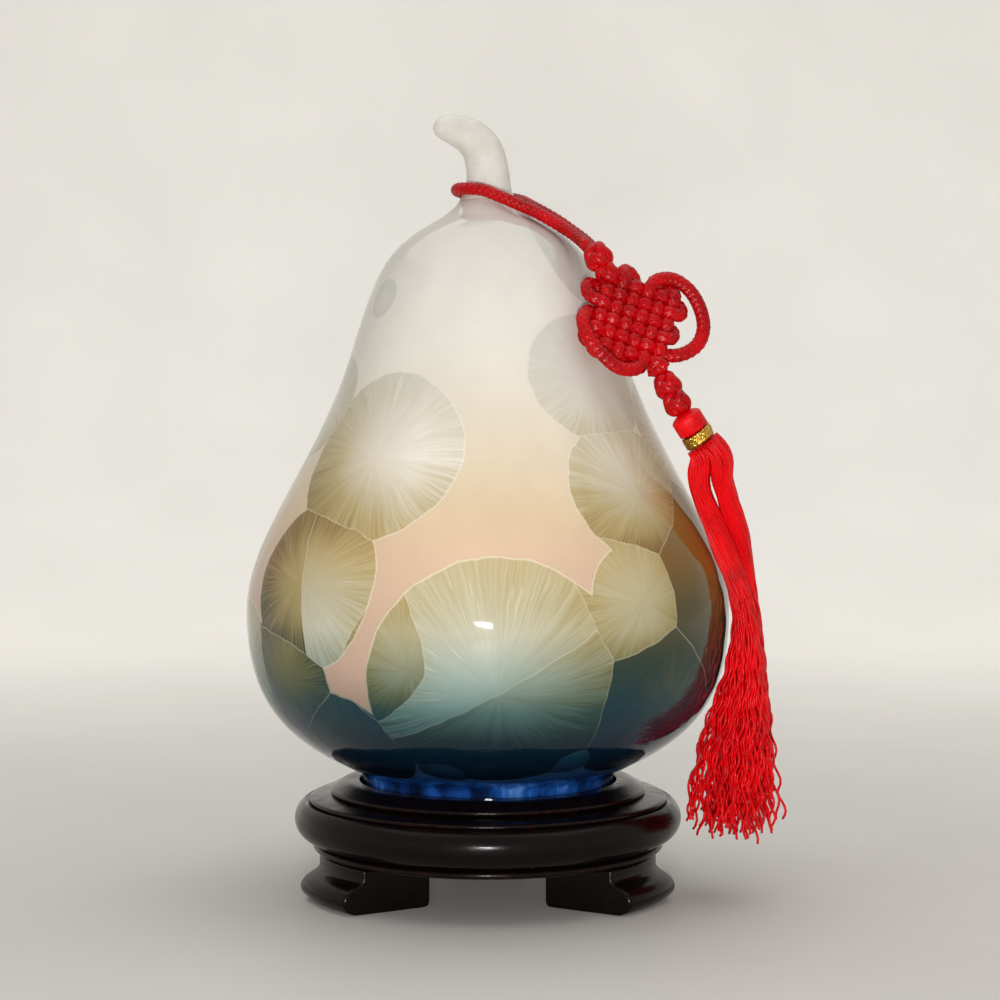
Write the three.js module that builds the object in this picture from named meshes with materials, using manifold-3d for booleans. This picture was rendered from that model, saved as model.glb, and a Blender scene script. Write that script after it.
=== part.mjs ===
// A porcelain gourd ornament on a turned hardwood stand, with a knotted silk tassel round its stem.
// Millimetres, +Z up, origin on the table under the centre of the stand, front towards -Y.
import * as THREE from 'three';
import { mergeVertices } from 'three/addons/utils/BufferGeometryUtils.js';
import Module from 'manifold-3d';

const wasm = await Module();
wasm.setup();

// Fits and finish
const SEAT_GAP = 0.3; // slip, glue or cord left between two pieces that touch
const TURNED_SIDES = 40;
const MERGE_DISTANCE = 1e-4;

// Stand ring
const RING_UNDERSIDE = 12;
const RING_RIM_HEIGHT = 30.6;
const RECESS_DEPTH = 6.1;
const RECESS_SIDE_GAP = 0.8;
const RING_RADIUS = 47.5; // to the middle of the torus
const TORUS = { height: 20.4, reach: 5.5, rise: 5.6, from: -80, to: 58 };
const LOWER_BEAD = { radius: RING_RADIUS - 0.5, height: 13, size: 1 };
const MIDDLE_BEAD = { radius: RING_RADIUS + 0.7, height: 25.4, size: 0.8 };
const UPPER_BEAD = { radius: RING_RADIUS - 4.9, height: 27.9, size: 0.75 };
const RIM_LIP_WIDTH = 1.2;
const BEAD_STEPS = 3;

// Stand feet
const FOOT_AZIMUTHS = { stand_foot_right: -30, stand_foot_back: 90, stand_foot_left: 210 };
const FOOT_WIDTH = 27;
const FOOT_INNER_RADIUS = RING_RADIUS - 19;
const FOOT_BASE_RADIUS = RING_RADIUS + 1;
const FOOT_BULGE_RADIUS = RING_RADIUS + 6.1;
const FOOT_WAIST_RADIUS = RING_RADIUS - 0.7;
const FOOT_WAIST_HEIGHT = 9.4;
const FOOT_SHOULDER_HEIGHT = 6.6; // where the bulge turns into the hollow under the waist
const FOOT_BULGE_CURVE = { toe: 1, lift: 1, shoulder: 4.6 };
const FOOT_HOLLOW_CURVE = { out: 1.6, lift: 1.2, waist: 1.4 };
const FOOT_HEEL_ROUND = 3;
const FOOT_STEPS = 5;
const DOWEL_RADIUS = 2.5;
const DOWEL_LENGTH = 14;
const DOWEL_CIRCLE_RADIUS = RING_RADIUS - 9.5;
const DOWEL_SIDES = 16;

// Gourd body
const WALL = 4;
const VENT_RADIUS = 3;
const FOOT_RING_RADIUS = 34.5;
const FOOT_RING_WIDTH = 6;
const FOOT_RING_HEIGHT = 8.7;
const FOOT_RING_CHAMFER = 1;
const FOOT_RING_FLARE = 1.5; // from the side of the foot ring to where the belly starts
const BASE_HOLLOW_DEPTH = 4;
const BELLY_RADIUS = 66;
const BELLY_HEIGHT = 52.2; // above the bottom of the foot ring
const NECK_RADIUS = 38;
const NECK_HEIGHT = 120.7;
const CROWN_RADIUS = 9;
const CROWN_HEIGHT = 161.2;
// Handles of the outline: shares of the height or width that each curve spans, and slopes in millimetres
const UNDERSIDE_CURVE = { out: 0.6, up: 0.19, belly: 0.4 };
const FLANK_CURVE = { belly: 0.29, neck: 0.44, slope: 9.9 };
const SHOULDER_CURVE = { neck: 0.64, slope: 8.1, crown: 0.23, spread: 19.8 };
const PROFILE_STEPS = 8;

// Gourd stem: x to the side, z above its seat
const STEM_ROUTE = [
  [0, 0], [0, 4], [0.1, 8.6], [-0.4, 12.7], [-1.6, 16.6], [-4, 19.5], [-7.7, 21.6], [-11.4, 22.6], [-15, 23],
];
const STEM_RADIUS = 6;
const STEM_TIP_RADIUS = 2.6;
const STEM_FLARE_RADIUS = 8.8;
const STEM_FLARE_LENGTH = 4.6;
const STEM_TIP_ROUND = 0.08;
const STEM_TIP_CLOSE = 0.75;
const STEM_RINGS = 18;
const STEM_SIDES = 16;

// Hanging cord: out of the top knot, over the shoulder, round the stem and back
const CORD_DIAMETER = 3.2;
const CORD_SIDES = 8;
const CORD_STEPS = 56;
const CORD_ROUTE = [
  [28.6, -19.4, 173], [26.9, -15.8, 175.6], [24.6, -13, 177.9], [22.1, -11, 180], [19.5, -9.4, 182.1],
  [16.8, -8.2, 183.9], [14.1, -6.8, 185.6], [11.9, -4.2, 187.1], [10.2, -0.6, 188.5], [8.5, 4.2, 189.8],
  [4.6, 7.6, 190.9], [-0.6, 8.7, 191.5], [-5.4, 6.6, 191.9], [-8.4, 1.2, 192], [-7.6, -4.2, 191.8],
  [-4.6, -7.4, 191.4], [-1.4, -8.8, 190.9], [1.6, -9.6, 189.7], [4.6, -10.2, 188.4], [8.6, -10.6, 186.6],
  [12.6, -11.3, 184.8], [16.6, -12.4, 182.5], [20.2, -13.9, 180.1], [23, -16.2, 177.9], [24.8, -19, 176.1],
  [26.1, -21.9, 174.4],
];

// Endless knot: six runs each way. A strand makes four runs, a loop round a corner, and two runs the other way.
const KNOT_AZIMUTH = -34;
const KNOT_HEIGHT = 154.4;
const KNOT_STANDOFF = 10.6; // from the flank of the gourd to the middle of the knot
const KNOT_TILT = -25;
const KNOT_TURN = 19;
const KNOT_LEAN = -14;
const RUNS = 6;
const RUNS_BEFORE_CORNER = 4;
const RUN_SPACING = 3.56;
const STRAND_DIAMETER = 1.7;
const STRAND_SIDES = 6;
const STRAND_STEP = 1.4;
const WEAVE_GAP = 0.9;
const LEAD_LENGTH = 2.8;
const LEAD_SIDE = 1.2;
const SAMPLES_PER_CELL = 4;
const SAMPLES_PER_EAR = 10;
const SAMPLES_PER_DIAMETER = 4; // where the least gap is measured
const NEIGHBOUR_SAMPLES = 12; // this near along one strand, samples are no gap
const EAR_LEAD = 0.6; // share of its reach that an ear runs straight
// Each ear: how far it reaches out, half its fullness, how far it leans along the edge
const ROW_EARS = [
  { reach: 3, full: 1.6, lean: 0.4 },
  { reach: 5.1, full: 2.4, lean: -1.2 },
  { reach: 2.6, full: 1.4, lean: 0 },
  { reach: 2.3, full: 1.3, lean: 0 },
];
const COLUMN_EARS = [
  { reach: 2.3, full: 1.3, lean: 0 },
  { reach: 3.6, full: 2, lean: -1.4 },
  { reach: 2.3, full: 1.3, lean: 0 },
  { reach: 2.3, full: 1.3, lean: 0 },
];
// Each corner loop: along the strand's first runs, across them, and forward
const ROW_CORNER = [
  [-12.3, 2.2, 0.6], [-14.2, 6, 2.4], [-11.6, 11, 3.4], [-6.4, 14.2, 3.6], [-1.5, 15.3, 3], [2.8, 13.9, 2.2],
  [5.2, 11.4, 1.4],
];
const COLUMN_CORNER = [
  [-12, 2.6, 1.2], [-13.6, 6.2, 1], [-12.4, 10.8, 0.6], [-8.8, 15, 0.2], [-4, 17.8, 0], [0.3, 17.8, -0.2],
  [3.8, 15.2, -0.6], [5.3, 12, -1.1],
];

// Round knots, tassel head and fringe
const BALL_RADIUS = 3.6;
const BALL_GROOVE = 0.5;
const BALL_LOBES = 3;
const BALL_SIDES = 18;
const BALL_ROWS = 10;
const BALL_SPACING = 5; // between the two balls of the lower knot
const TASSEL_DIRECTION = [0.54, 0.12, -0.83];
const WRAPPED_SIDES = 16;
const CAP_RADIUS = 4.1;
const CAP_LENGTH = 5;
const CAP_CROWN = 1.8;
const CAP_HEM = 0.8;
const CAP_STEPS = 4;
const NECK_WRAP_RADIUS = 2.8;
const BAND_LENGTH = 3.2;
const BAND_THICKNESS = 1;
const BAND_WINDS = 3;
const BAND_GROOVE = 0.4;
const WIND_STEPS = 3;
const FRINGE_LOCKS = { fringe_lock_front: 1, fringe_lock_back: -1 };
// Stops of the fringe under the neck, then beside the gourd. Each lock lies off the middle by its offset, on a
// line slanted from sideways towards outward, with half its width along that line and half its depth across it.
const FRINGE_HEAD = [
  { below: 0, slant: 80, offset: 1.55, halfWidth: 1.25, halfDepth: 2.7 },
  { below: 4, slant: 80, offset: 3.1, halfWidth: 2.3, halfDepth: 3.7 },
];
const FRINGE_ROUTE = [
  { height: 112.5, azimuth: -22, standoff: 10.4, slant: 76, offset: 3.3, halfWidth: 2.4, halfDepth: 3.9 },
  { height: 100, azimuth: -17.5, standoff: 6.8, slant: 52, offset: 2.9, halfWidth: 2.4, halfDepth: 3.2 },
  { height: 88, azimuth: -14, standoff: 4.8, slant: 12, offset: 3.3, halfWidth: 2.9, halfDepth: 2.6 },
  { height: 76, azimuth: -12.4, standoff: 5, slant: 0, offset: 3.7, halfWidth: 3.3, halfDepth: 3 },
  { height: 62, azimuth: -11.4, standoff: 4.8, slant: 0, offset: 4.5, halfWidth: 4.1, halfDepth: 5 },
  { height: 46, azimuth: -11, standoff: 3, slant: 0, offset: 5.4, halfWidth: 4.9, halfDepth: 8.4 },
  { height: 30, azimuth: -10.8, standoff: 1.4, slant: 0, offset: 6.2, halfWidth: 5.6, halfDepth: 9.6 },
  { height: 17, azimuth: -10.8, standoff: 0.8, slant: 0, offset: 6.4, halfWidth: 5.8, halfDepth: 8.8 },
];
const RINGS_PER_STOP = 2;
const LOCK_SIDES = 24;
const LOCK_FLUTES = 8;
const LOCK_FLUTE_DEPTH = 0.18;

// Sizes that follow
const RECESS_FLOOR = RING_RIM_HEIGHT - RECESS_DEPTH;
const GOURD_BOTTOM = RECESS_FLOOR + SEAT_GAP;
const RECESS_RADIUS = FOOT_RING_RADIUS + RECESS_SIDE_GAP;
const FOOT_TOP = RING_UNDERSIDE - SEAT_GAP;
const DOWEL_MIDDLE = RING_UNDERSIDE - SEAT_GAP / 2;
const STEM_SEAT = GOURD_BOTTOM + CROWN_HEIGHT + SEAT_GAP;
const WEAVE_HEIGHT = (STRAND_DIAMETER + WEAVE_GAP) / 2;
const LATTICE_HALF = (RUNS - 1) * RUN_SPACING / 2;
const KNOT_CORNER = LATTICE_HALF * Math.SQRT2;
const KNOT_REACH = KNOT_CORNER + LEAD_LENGTH + SEAT_GAP + BALL_RADIUS;
const CAP_TOP = -(BALL_RADIUS + SEAT_GAP);
const BAND_TOP = CAP_TOP - CAP_LENGTH - SEAT_GAP;
const NECK_BOTTOM = BAND_TOP - BAND_LENGTH - SEAT_GAP;

const radians = THREE.MathUtils.degToRad;
const vector = (x, y, z) => new THREE.Vector3(x, y, z);

// One closed skin: corners merged, folded triangles dropped, faces turned outward
function closedSkin(geometry) {
  const bare = new THREE.BufferGeometry();
  bare.setAttribute('position', geometry.getAttribute('position').clone());
  bare.setIndex(geometry.getIndex());
  const merged = mergeVertices(bare, MERGE_DISTANCE);
  const corners = merged.getAttribute('position');
  const index = merged.getIndex().array;
  const [a, b, c] = [vector(), vector(), vector()];
  const kept = [];
  let volume = 0;
  for (let i = 0; i < index.length; i += 3) {
    const [p, q, r] = [index[i], index[i + 1], index[i + 2]];
    if (p === q || q === r || r === p) continue;
    kept.push(p, q, r);
    a.fromBufferAttribute(corners, p);
    b.fromBufferAttribute(corners, q);
    c.fromBufferAttribute(corners, r);
    volume += a.dot(b.cross(c));
  }
  if (volume < 0) kept.reverse();
  merged.setIndex(kept);
  return merged;
}

function toSolid(geometry) {
  const skin = closedSkin(geometry);
  const mesh = new wasm.Mesh({
    numProp: 3,
    vertProperties: new Float32Array(skin.getAttribute('position').array),
    triVerts: new Uint32Array(skin.getIndex().array),
  });
  return new wasm.Manifold(mesh);
}

function fromSolid(solid) {
  const mesh = solid.getMesh();
  const geometry = new THREE.BufferGeometry();
  geometry.setAttribute('position', new THREE.BufferAttribute(mesh.vertProperties, 3));
  geometry.setIndex(new THREE.BufferAttribute(mesh.triVerts, 1));
  return geometry;
}

// A profile of (radius, height) points turned about Z
function turned(points, sides = TURNED_SIDES) {
  return closedSkin(new THREE.LatheGeometry(points, sides).rotateX(Math.PI / 2));
}

// Rings of points joined into one skin, with a fan over each end
function loft(rings) {
  const count = rings[0].length;
  const middle = (ring) => ring.reduce((sum, p) => sum.add(p), vector(0, 0, 0)).divideScalar(count);
  const points = [...rings.flat(), middle(rings[0]), middle(rings.at(-1))];
  const lastRing = (rings.length - 1) * count;
  const [startFan, endFan] = [points.length - 2, points.length - 1];
  const index = [];
  for (let k = 0; k < count; k++) {
    const next = (k + 1) % count;
    for (let row = 0; row < lastRing; row += count) {
      index.push(row + k, row + next, row + count + k);
      index.push(row + next, row + count + next, row + count + k);
    }
    index.push(startFan, next, k);
    index.push(endFan, lastRing + k, lastRing + next);
  }
  const geometry = new THREE.BufferGeometry().setFromPoints(points);
  geometry.setIndex(index);
  return closedSkin(geometry);
}

// A round cord along a curve
function cordAlong(curve, diameter, sides, steps) {
  const corner = (k) => {
    const angle = (k / sides) * 2 * Math.PI;
    return new THREE.Vector2(Math.cos(angle), Math.sin(angle)).multiplyScalar(diameter / 2);
  };
  const section = new THREE.Shape(Array.from({ length: sides }, (_, k) => corner(k)));
  return closedSkin(new THREE.ExtrudeGeometry(section, { steps, extrudePath: curve, bevelEnabled: false }));
}

function dowelAt(azimuth, radius, length) {
  const angle = radians(azimuth);
  return new THREE.CylinderGeometry(radius, radius, length, DOWEL_SIDES)
    .rotateX(Math.PI / 2)
    .translate(DOWEL_CIRCLE_RADIUS * Math.cos(angle), DOWEL_CIRCLE_RADIUS * Math.sin(angle), DOWEL_MIDDLE);
}

function dowelHole(azimuth) {
  return toSolid(dowelAt(azimuth, DOWEL_RADIUS + SEAT_GAP, DOWEL_LENGTH + 2 * SEAT_GAP));
}

// Stand ring: beads, torus and rim outside, a flat recess for the foot ring on top
function standRing() {
  const outline = new THREE.Path();
  const bead = ({ radius, height, size }) => {
    outline.absarc(radius, height, size, -Math.PI / 2, Math.PI / 2, false);
  };
  outline.moveTo(0, RING_UNDERSIDE);
  outline.lineTo(LOWER_BEAD.radius, RING_UNDERSIDE);
  bead(LOWER_BEAD);
  const [from, to] = [radians(TORUS.from), radians(TORUS.to)];
  outline.absellipse(RING_RADIUS, TORUS.height, TORUS.reach, TORUS.rise, from, to, false, 0);
  bead(MIDDLE_BEAD);
  bead(UPPER_BEAD);
  const lip = RECESS_RADIUS + RIM_LIP_WIDTH;
  outline.quadraticCurveTo((lip + UPPER_BEAD.radius) / 2, RING_RIM_HEIGHT, lip, RING_RIM_HEIGHT);
  outline.lineTo(RECESS_RADIUS, RING_RIM_HEIGHT);
  outline.lineTo(RECESS_RADIUS, RECESS_FLOOR);
  outline.lineTo(0, RECESS_FLOOR);
  let ring = toSolid(turned(outline.getPoints(BEAD_STEPS)));
  for (const azimuth of Object.values(FOOT_AZIMUTHS)) ring = ring.subtract(dowelHole(azimuth));
  return fromSolid(ring);
}

// A block foot: a turned ogee ring cut to a block with parallel sides
function standFoot(azimuth) {
  const outline = new THREE.Path();
  outline.moveTo(FOOT_INNER_RADIUS + FOOT_HEEL_ROUND, 0);
  outline.lineTo(FOOT_BASE_RADIUS, 0);
  const flank = (FOOT_BULGE_RADIUS + FOOT_WAIST_RADIUS) / 2;
  outline.bezierCurveTo(
    FOOT_BULGE_RADIUS - FOOT_BULGE_CURVE.toe, FOOT_BULGE_CURVE.lift,
    FOOT_BULGE_RADIUS, FOOT_BULGE_CURVE.shoulder,
    flank, FOOT_SHOULDER_HEIGHT,
  );
  outline.bezierCurveTo(
    FOOT_WAIST_RADIUS + FOOT_HOLLOW_CURVE.out, FOOT_SHOULDER_HEIGHT + FOOT_HOLLOW_CURVE.lift,
    FOOT_WAIST_RADIUS, FOOT_WAIST_HEIGHT - FOOT_HOLLOW_CURVE.waist,
    FOOT_WAIST_RADIUS, FOOT_WAIST_HEIGHT,
  );
  outline.lineTo(FOOT_WAIST_RADIUS, FOOT_TOP);
  outline.lineTo(FOOT_INNER_RADIUS, FOOT_TOP);
  outline.lineTo(FOOT_INNER_RADIUS, FOOT_HEEL_ROUND);
  outline.quadraticCurveTo(FOOT_INNER_RADIUS, 0, FOOT_INNER_RADIUS + FOOT_HEEL_ROUND, 0);
  const ring = toSolid(turned(outline.getPoints(FOOT_STEPS)));
  const block = new THREE.BoxGeometry(2 * FOOT_BULGE_RADIUS, FOOT_WIDTH, 2 * RING_UNDERSIDE)
    .translate(FOOT_BULGE_RADIUS, 0, RING_UNDERSIDE)
    .rotateZ(radians(azimuth));
  return fromSolid(ring.intersect(toSolid(block)).subtract(dowelHole(azimuth)));
}

// Outside of the gourd from the top of the foot ring to the edge of the crown
function gourdOutside() {
  const outside = new THREE.Path();
  const [belly, neck, crown] = [BELLY_HEIGHT, NECK_HEIGHT, CROWN_HEIGHT].map((height) => GOURD_BOTTOM + height);
  const ringTop = GOURD_BOTTOM + FOOT_RING_HEIGHT;
  const underside = FOOT_RING_RADIUS + FOOT_RING_FLARE;
  const overhang = BELLY_RADIUS - underside;
  const rise = belly - ringTop;
  const climb = neck - belly;
  const cap = crown - neck;
  outside.moveTo(underside, ringTop);
  outside.bezierCurveTo(
    underside + UNDERSIDE_CURVE.out * overhang, ringTop + UNDERSIDE_CURVE.up * rise,
    BELLY_RADIUS, ringTop + UNDERSIDE_CURVE.belly * rise,
    BELLY_RADIUS, belly,
  );
  outside.bezierCurveTo(
    BELLY_RADIUS, belly + FLANK_CURVE.belly * climb,
    NECK_RADIUS + FLANK_CURVE.slope, neck - FLANK_CURVE.neck * climb,
    NECK_RADIUS, neck,
  );
  outside.bezierCurveTo(
    NECK_RADIUS - SHOULDER_CURVE.slope, neck + SHOULDER_CURVE.neck * cap,
    CROWN_RADIUS + SHOULDER_CURVE.spread, crown - SHOULDER_CURVE.crown * cap,
    CROWN_RADIUS, crown,
  );
  return outside.getPoints(PROFILE_STEPS);
}

const OUTSIDE = gourdOutside();

// Radius of the gourd at a height, and below the belly the radius a hanging thread clears
function flankRadius(height) {
  const belly = GOURD_BOTTOM + BELLY_HEIGHT;
  const above = OUTSIDE.findIndex((point) => point.y >= Math.max(height, belly));
  const [low, high] = [OUTSIDE[above - 1], OUTSIDE[above]];
  const share = (Math.max(height, belly) - low.y) / (high.y - low.y);
  return THREE.MathUtils.lerp(low.x, high.x, share);
}

function besideGourd({ height, azimuth, standoff }) {
  const radius = flankRadius(height) + standoff;
  return vector(radius * Math.cos(radians(azimuth)), radius * Math.sin(radians(azimuth)), height);
}

// Gourd body: a hollow shell with a foot ring, open only at the vent in its base
function gourdBody() {
  const ringInner = FOOT_RING_RADIUS - FOOT_RING_WIDTH;
  const hollowTop = GOURD_BOTTOM + BASE_HOLLOW_DEPTH;
  const floor = hollowTop + WALL;
  const point = (x, y) => new THREE.Vector2(x, y);
  const inside = OUTSIDE.map((p, i) => {
    const [before, after] = [OUTSIDE[Math.max(i - 1, 0)], OUTSIDE[Math.min(i + 1, OUTSIDE.length - 1)]];
    const along = after.clone().sub(before).normalize();
    return point(p.x - WALL * along.y, p.y + WALL * along.x);
  }).filter((p, i) => i % 2 === 0 && p.y > floor + WALL);
  const crown = GOURD_BOTTOM + CROWN_HEIGHT;
  return turned([
    point(VENT_RADIUS, floor),
    point(VENT_RADIUS, hollowTop),
    point(ringInner, hollowTop),
    point(ringInner + FOOT_RING_CHAMFER, GOURD_BOTTOM),
    point(FOOT_RING_RADIUS - FOOT_RING_CHAMFER, GOURD_BOTTOM),
    point(FOOT_RING_RADIUS, GOURD_BOTTOM + FOOT_RING_CHAMFER),
    point(FOOT_RING_RADIUS, GOURD_BOTTOM + FOOT_RING_HEIGHT - FOOT_RING_CHAMFER),
    ...OUTSIDE,
    point(0, crown),
    point(0, crown - WALL),
    ...inside.reverse(),
    point(FOOT_RING_RADIUS, floor),
    point(VENT_RADIUS, floor),
  ]);
}

// Gourd stem: a tapering stalk that flares on to the crown and bends over to one side
function gourdStem() {
  const route = new THREE.CatmullRomCurve3(STEM_ROUTE.map(([x, z]) => vector(x, 0, z)));
  const length = route.getLength();
  const rings = [];
  for (let i = 0; i <= STEM_RINGS; i++) {
    const share = i / STEM_RINGS;
    const flare = (STEM_FLARE_RADIUS - STEM_RADIUS) * Math.exp(-(((share * length) / STEM_FLARE_LENGTH) ** 2));
    const tip = Math.max(0, (share - 1 + STEM_TIP_ROUND) / STEM_TIP_ROUND);
    const taper = THREE.MathUtils.lerp(STEM_RADIUS, STEM_TIP_RADIUS, share ** 3);
    const radius = (taper + flare) * Math.sqrt(1 - STEM_TIP_CLOSE * tip * tip);
    const centre = route.getPointAt(share);
    const side = vector(0, 1, 0);
    const across = side.clone().cross(i === 0 ? vector(0, 0, 1) : route.getTangentAt(share));
    rings.push(Array.from({ length: STEM_SIDES }, (_, k) => {
      const angle = (k / STEM_SIDES) * 2 * Math.PI;
      return centre.clone()
        .addScaledVector(across, radius * Math.cos(angle))
        .addScaledVector(side, radius * Math.sin(angle));
    }));
  }
  return loft(rings);
}

// Endless knot, facing -Y. Rows run down to the right and columns down to the left. The first strand starts on
// the rows and ends on the columns, the second the other way round, so their corner loops lie opposite.
const DOWN_RIGHT = vector(1, 0, -1).normalize();
const DOWN_LEFT = vector(-1, 0, -1).normalize();
const FORWARD = vector(0, -1, 0);

function strandRoute(firstWay, otherWay, ears, corner, face) {
  const place = (along, across, forward) => vector(0, 0, 0)
    .addScaledVector(firstWay, along)
    .addScaledVector(otherWay, across)
    .addScaledVector(FORWARD, forward);
  const side = -Math.sign(firstWay.x) * LEAD_SIDE;
  const leadEnd = (end) => vector(side, 0, -end * (KNOT_CORNER + LEAD_LENGTH))
    .addScaledVector(FORWARD, -end * face * WEAVE_HEIGHT);
  const lattice = (cell) => cell * RUN_SPACING - LATTICE_HALF;
  const cells = RUNS - 1;
  const route = [leadEnd(-1)];
  for (let run = 0; run < RUNS; run++) {
    const turned = run >= RUNS_BEFORE_CORNER;
    const heading = (run % 2 === 0) === turned ? -1 : 1;
    const onRun = (cell) => (turned ? [lattice(run), lattice(cell)] : [lattice(cell), lattice(run)]);
    const weave = (cell) => (turned ? -face : face) * WEAVE_HEIGHT * Math.cos(Math.PI * (cell + run));
    for (let i = 0; i <= cells * SAMPLES_PER_CELL; i++) {
      const done = i / SAMPLES_PER_CELL;
      const cell = heading > 0 ? done : cells - done;
      route.push(place(...onRun(cell), weave(cell)));
    }
    if (run === RUNS - 1) break;
    if (run === RUNS_BEFORE_CORNER - 1) {
      route.push(...corner.map((point) => place(...point)));
      continue;
    }
    // An ear turns back from this run into the next one
    const ear = ears[turned ? run - 1 : run];
    const out = (turned ? otherWay : firstWay).clone().multiplyScalar(heading);
    const step = turned ? firstWay : otherWay;
    const endCell = heading > 0 ? cells : 0;
    const start = place(...onRun(endCell), 0);
    const end = start.clone().addScaledVector(step, RUN_SPACING);
    const top = start.clone().lerp(end, 0.5).addScaledVector(out, ear.reach).addScaledVector(step, ear.lean);
    const lead = (p) => p.clone().addScaledVector(out, EAR_LEAD * ear.reach);
    const halves = [
      new THREE.CubicBezierCurve3(start, lead(start), top.clone().addScaledVector(step, -ear.full), top),
      new THREE.CubicBezierCurve3(top, top.clone().addScaledVector(step, ear.full), lead(end), end),
    ];
    for (let i = 1; i < SAMPLES_PER_EAR; i++) {
      const share = i / SAMPLES_PER_EAR;
      const point = halves[share < 0.5 ? 0 : 1].getPoint((2 * share) % 1);
      route.push(point.addScaledVector(FORWARD, weave(endCell) * Math.cos(Math.PI * share)));
    }
  }
  route.push(leadEnd(1));
  return route;
}

// Least gap between two strands, or of one strand to itself a few diameters further along
function leastGap(first, second, apart) {
  let least = Infinity;
  first.forEach((p, i) => second.forEach((q, k) => {
    if (Math.abs(i - k) >= apart) least = Math.min(least, p.distanceTo(q));
  }));
  return least - STRAND_DIAMETER;
}

function knotStrands() {
  const routes = [
    strandRoute(DOWN_RIGHT, DOWN_LEFT, ROW_EARS, ROW_CORNER, 1),
    strandRoute(DOWN_LEFT, DOWN_RIGHT, COLUMN_EARS, COLUMN_CORNER, -1),
  ];
  const curves = routes.map((route) => new THREE.CatmullRomCurve3(route));
  const along = (curve, step) => Math.round(curve.getLength() / step);
  const sampleStep = STRAND_DIAMETER / SAMPLES_PER_DIAMETER;
  const [rows, columns] = curves.map((curve) => curve.getSpacedPoints(along(curve, sampleStep)));
  const gaps = [
    leastGap(rows, columns, 0),
    leastGap(rows, rows, NEIGHBOUR_SAMPLES),
    leastGap(columns, columns, NEIGHBOUR_SAMPLES),
  ];
  console.log(`least gaps in the endless knot, mm: ${gaps.map((gap) => gap.toFixed(2)).join(', ')}`);
  return curves.map((curve) => cordAlong(curve, STRAND_DIAMETER, STRAND_SIDES, along(curve, STRAND_STEP)));
}

// A round knot: a ball whose surface is wound with slanting cords
function ballKnot() {
  const ball = closedSkin(new THREE.SphereGeometry(BALL_RADIUS, BALL_SIDES, BALL_ROWS));
  const corners = ball.getAttribute('position');
  const point = vector();
  for (let i = 0; i < corners.count; i++) {
    point.fromBufferAttribute(corners, i);
    const turn = Math.atan2(point.y, point.x);
    const waist = Math.sqrt(Math.max(0, 1 - (point.z / BALL_RADIUS) ** 2));
    const groove = 0.5 - 0.5 * Math.cos(BALL_LOBES * turn + (Math.PI * point.z) / BALL_RADIUS);
    point.multiplyScalar(1 - (BALL_GROOVE / BALL_RADIUS) * waist * groove ** 3);
    corners.setXYZ(i, point.x, point.y, point.z);
  }
  return ball;
}

function lowerKnot() {
  const upper = toSolid(ballKnot().translate(0, 0, BALL_SPACING));
  return fromSolid(upper.add(toSolid(ballKnot())));
}

// Tassel cap: a rounded head of laid thread with a plain neck below it
function tasselCap() {
  const outline = new THREE.Path();
  const bottom = CAP_TOP - CAP_LENGTH;
  outline.moveTo(0, CAP_TOP);
  outline.quadraticCurveTo(CAP_RADIUS, CAP_TOP, CAP_RADIUS, CAP_TOP - CAP_CROWN);
  outline.lineTo(CAP_RADIUS, bottom + CAP_HEM);
  outline.quadraticCurveTo(CAP_RADIUS, bottom, NECK_WRAP_RADIUS, bottom);
  outline.lineTo(NECK_WRAP_RADIUS, NECK_BOTTOM);
  outline.lineTo(0, NECK_BOTTOM);
  return turned(outline.getPoints(CAP_STEPS), WRAPPED_SIDES);
}

// Gold band: thread wound round the neck
function goldBand() {
  const bore = NECK_WRAP_RADIUS + SEAT_GAP;
  const profile = [new THREE.Vector2(bore, BAND_TOP)];
  for (let i = 0; i <= BAND_WINDS * WIND_STEPS; i++) {
    const wind = i / WIND_STEPS;
    const groove = BAND_GROOVE * (0.5 + 0.5 * Math.cos(2 * Math.PI * wind));
    const height = BAND_TOP - (BAND_LENGTH * wind) / BAND_WINDS;
    profile.push(new THREE.Vector2(bore + BAND_THICKNESS - groove, height));
  }
  profile.push(new THREE.Vector2(bore, BAND_TOP - BAND_LENGTH), profile[0].clone());
  return turned(profile, WRAPPED_SIDES);
}

// One lock of the fringe: a fluted bundle that swells under the neck, follows the flank, then hangs and spreads
function fringeLock(head, side) {
  const stops = [...FRINGE_HEAD, ...FRINGE_ROUTE];
  const route = new THREE.CatmullRomCurve3([...head, ...FRINGE_ROUTE.map(besideGourd)]);
  const size = ({ offset, halfWidth, halfDepth }) => vector(offset, halfWidth, halfDepth);
  const sizes = new THREE.CatmullRomCurve3(stops.map(size));
  const slants = new THREE.CatmullRomCurve3(stops.map((stop, i) => vector(i, stop.slant, 0)));
  const count = (stops.length - 1) * RINGS_PER_STOP;
  const rings = [];
  for (let i = 0; i <= count; i++) {
    const share = i / count;
    const [offset, halfWidth, halfDepth] = sizes.getPoint(share).toArray();
    const slant = radians(slants.getPoint(share).y);
    const along = route.getTangent(share);
    const centre = route.getPoint(share);
    const outward = vector(centre.x, centre.y, 0).projectOnPlane(along).normalize();
    const sideways = along.clone().cross(outward).applyAxisAngle(along, slant);
    const square = outward.applyAxisAngle(along, slant);
    centre.addScaledVector(sideways, side * offset);
    rings.push(Array.from({ length: LOCK_SIDES }, (_, k) => {
      const angle = (k / LOCK_SIDES) * 2 * Math.PI;
      const flute = 1 - LOCK_FLUTE_DEPTH * (0.5 - 0.5 * Math.cos(LOCK_FLUTES * angle));
      return centre.clone()
        .addScaledVector(sideways, halfWidth * flute * Math.cos(angle))
        .addScaledVector(square, halfDepth * flute * Math.sin(angle));
    }));
  }
  return loft(rings);
}

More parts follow.
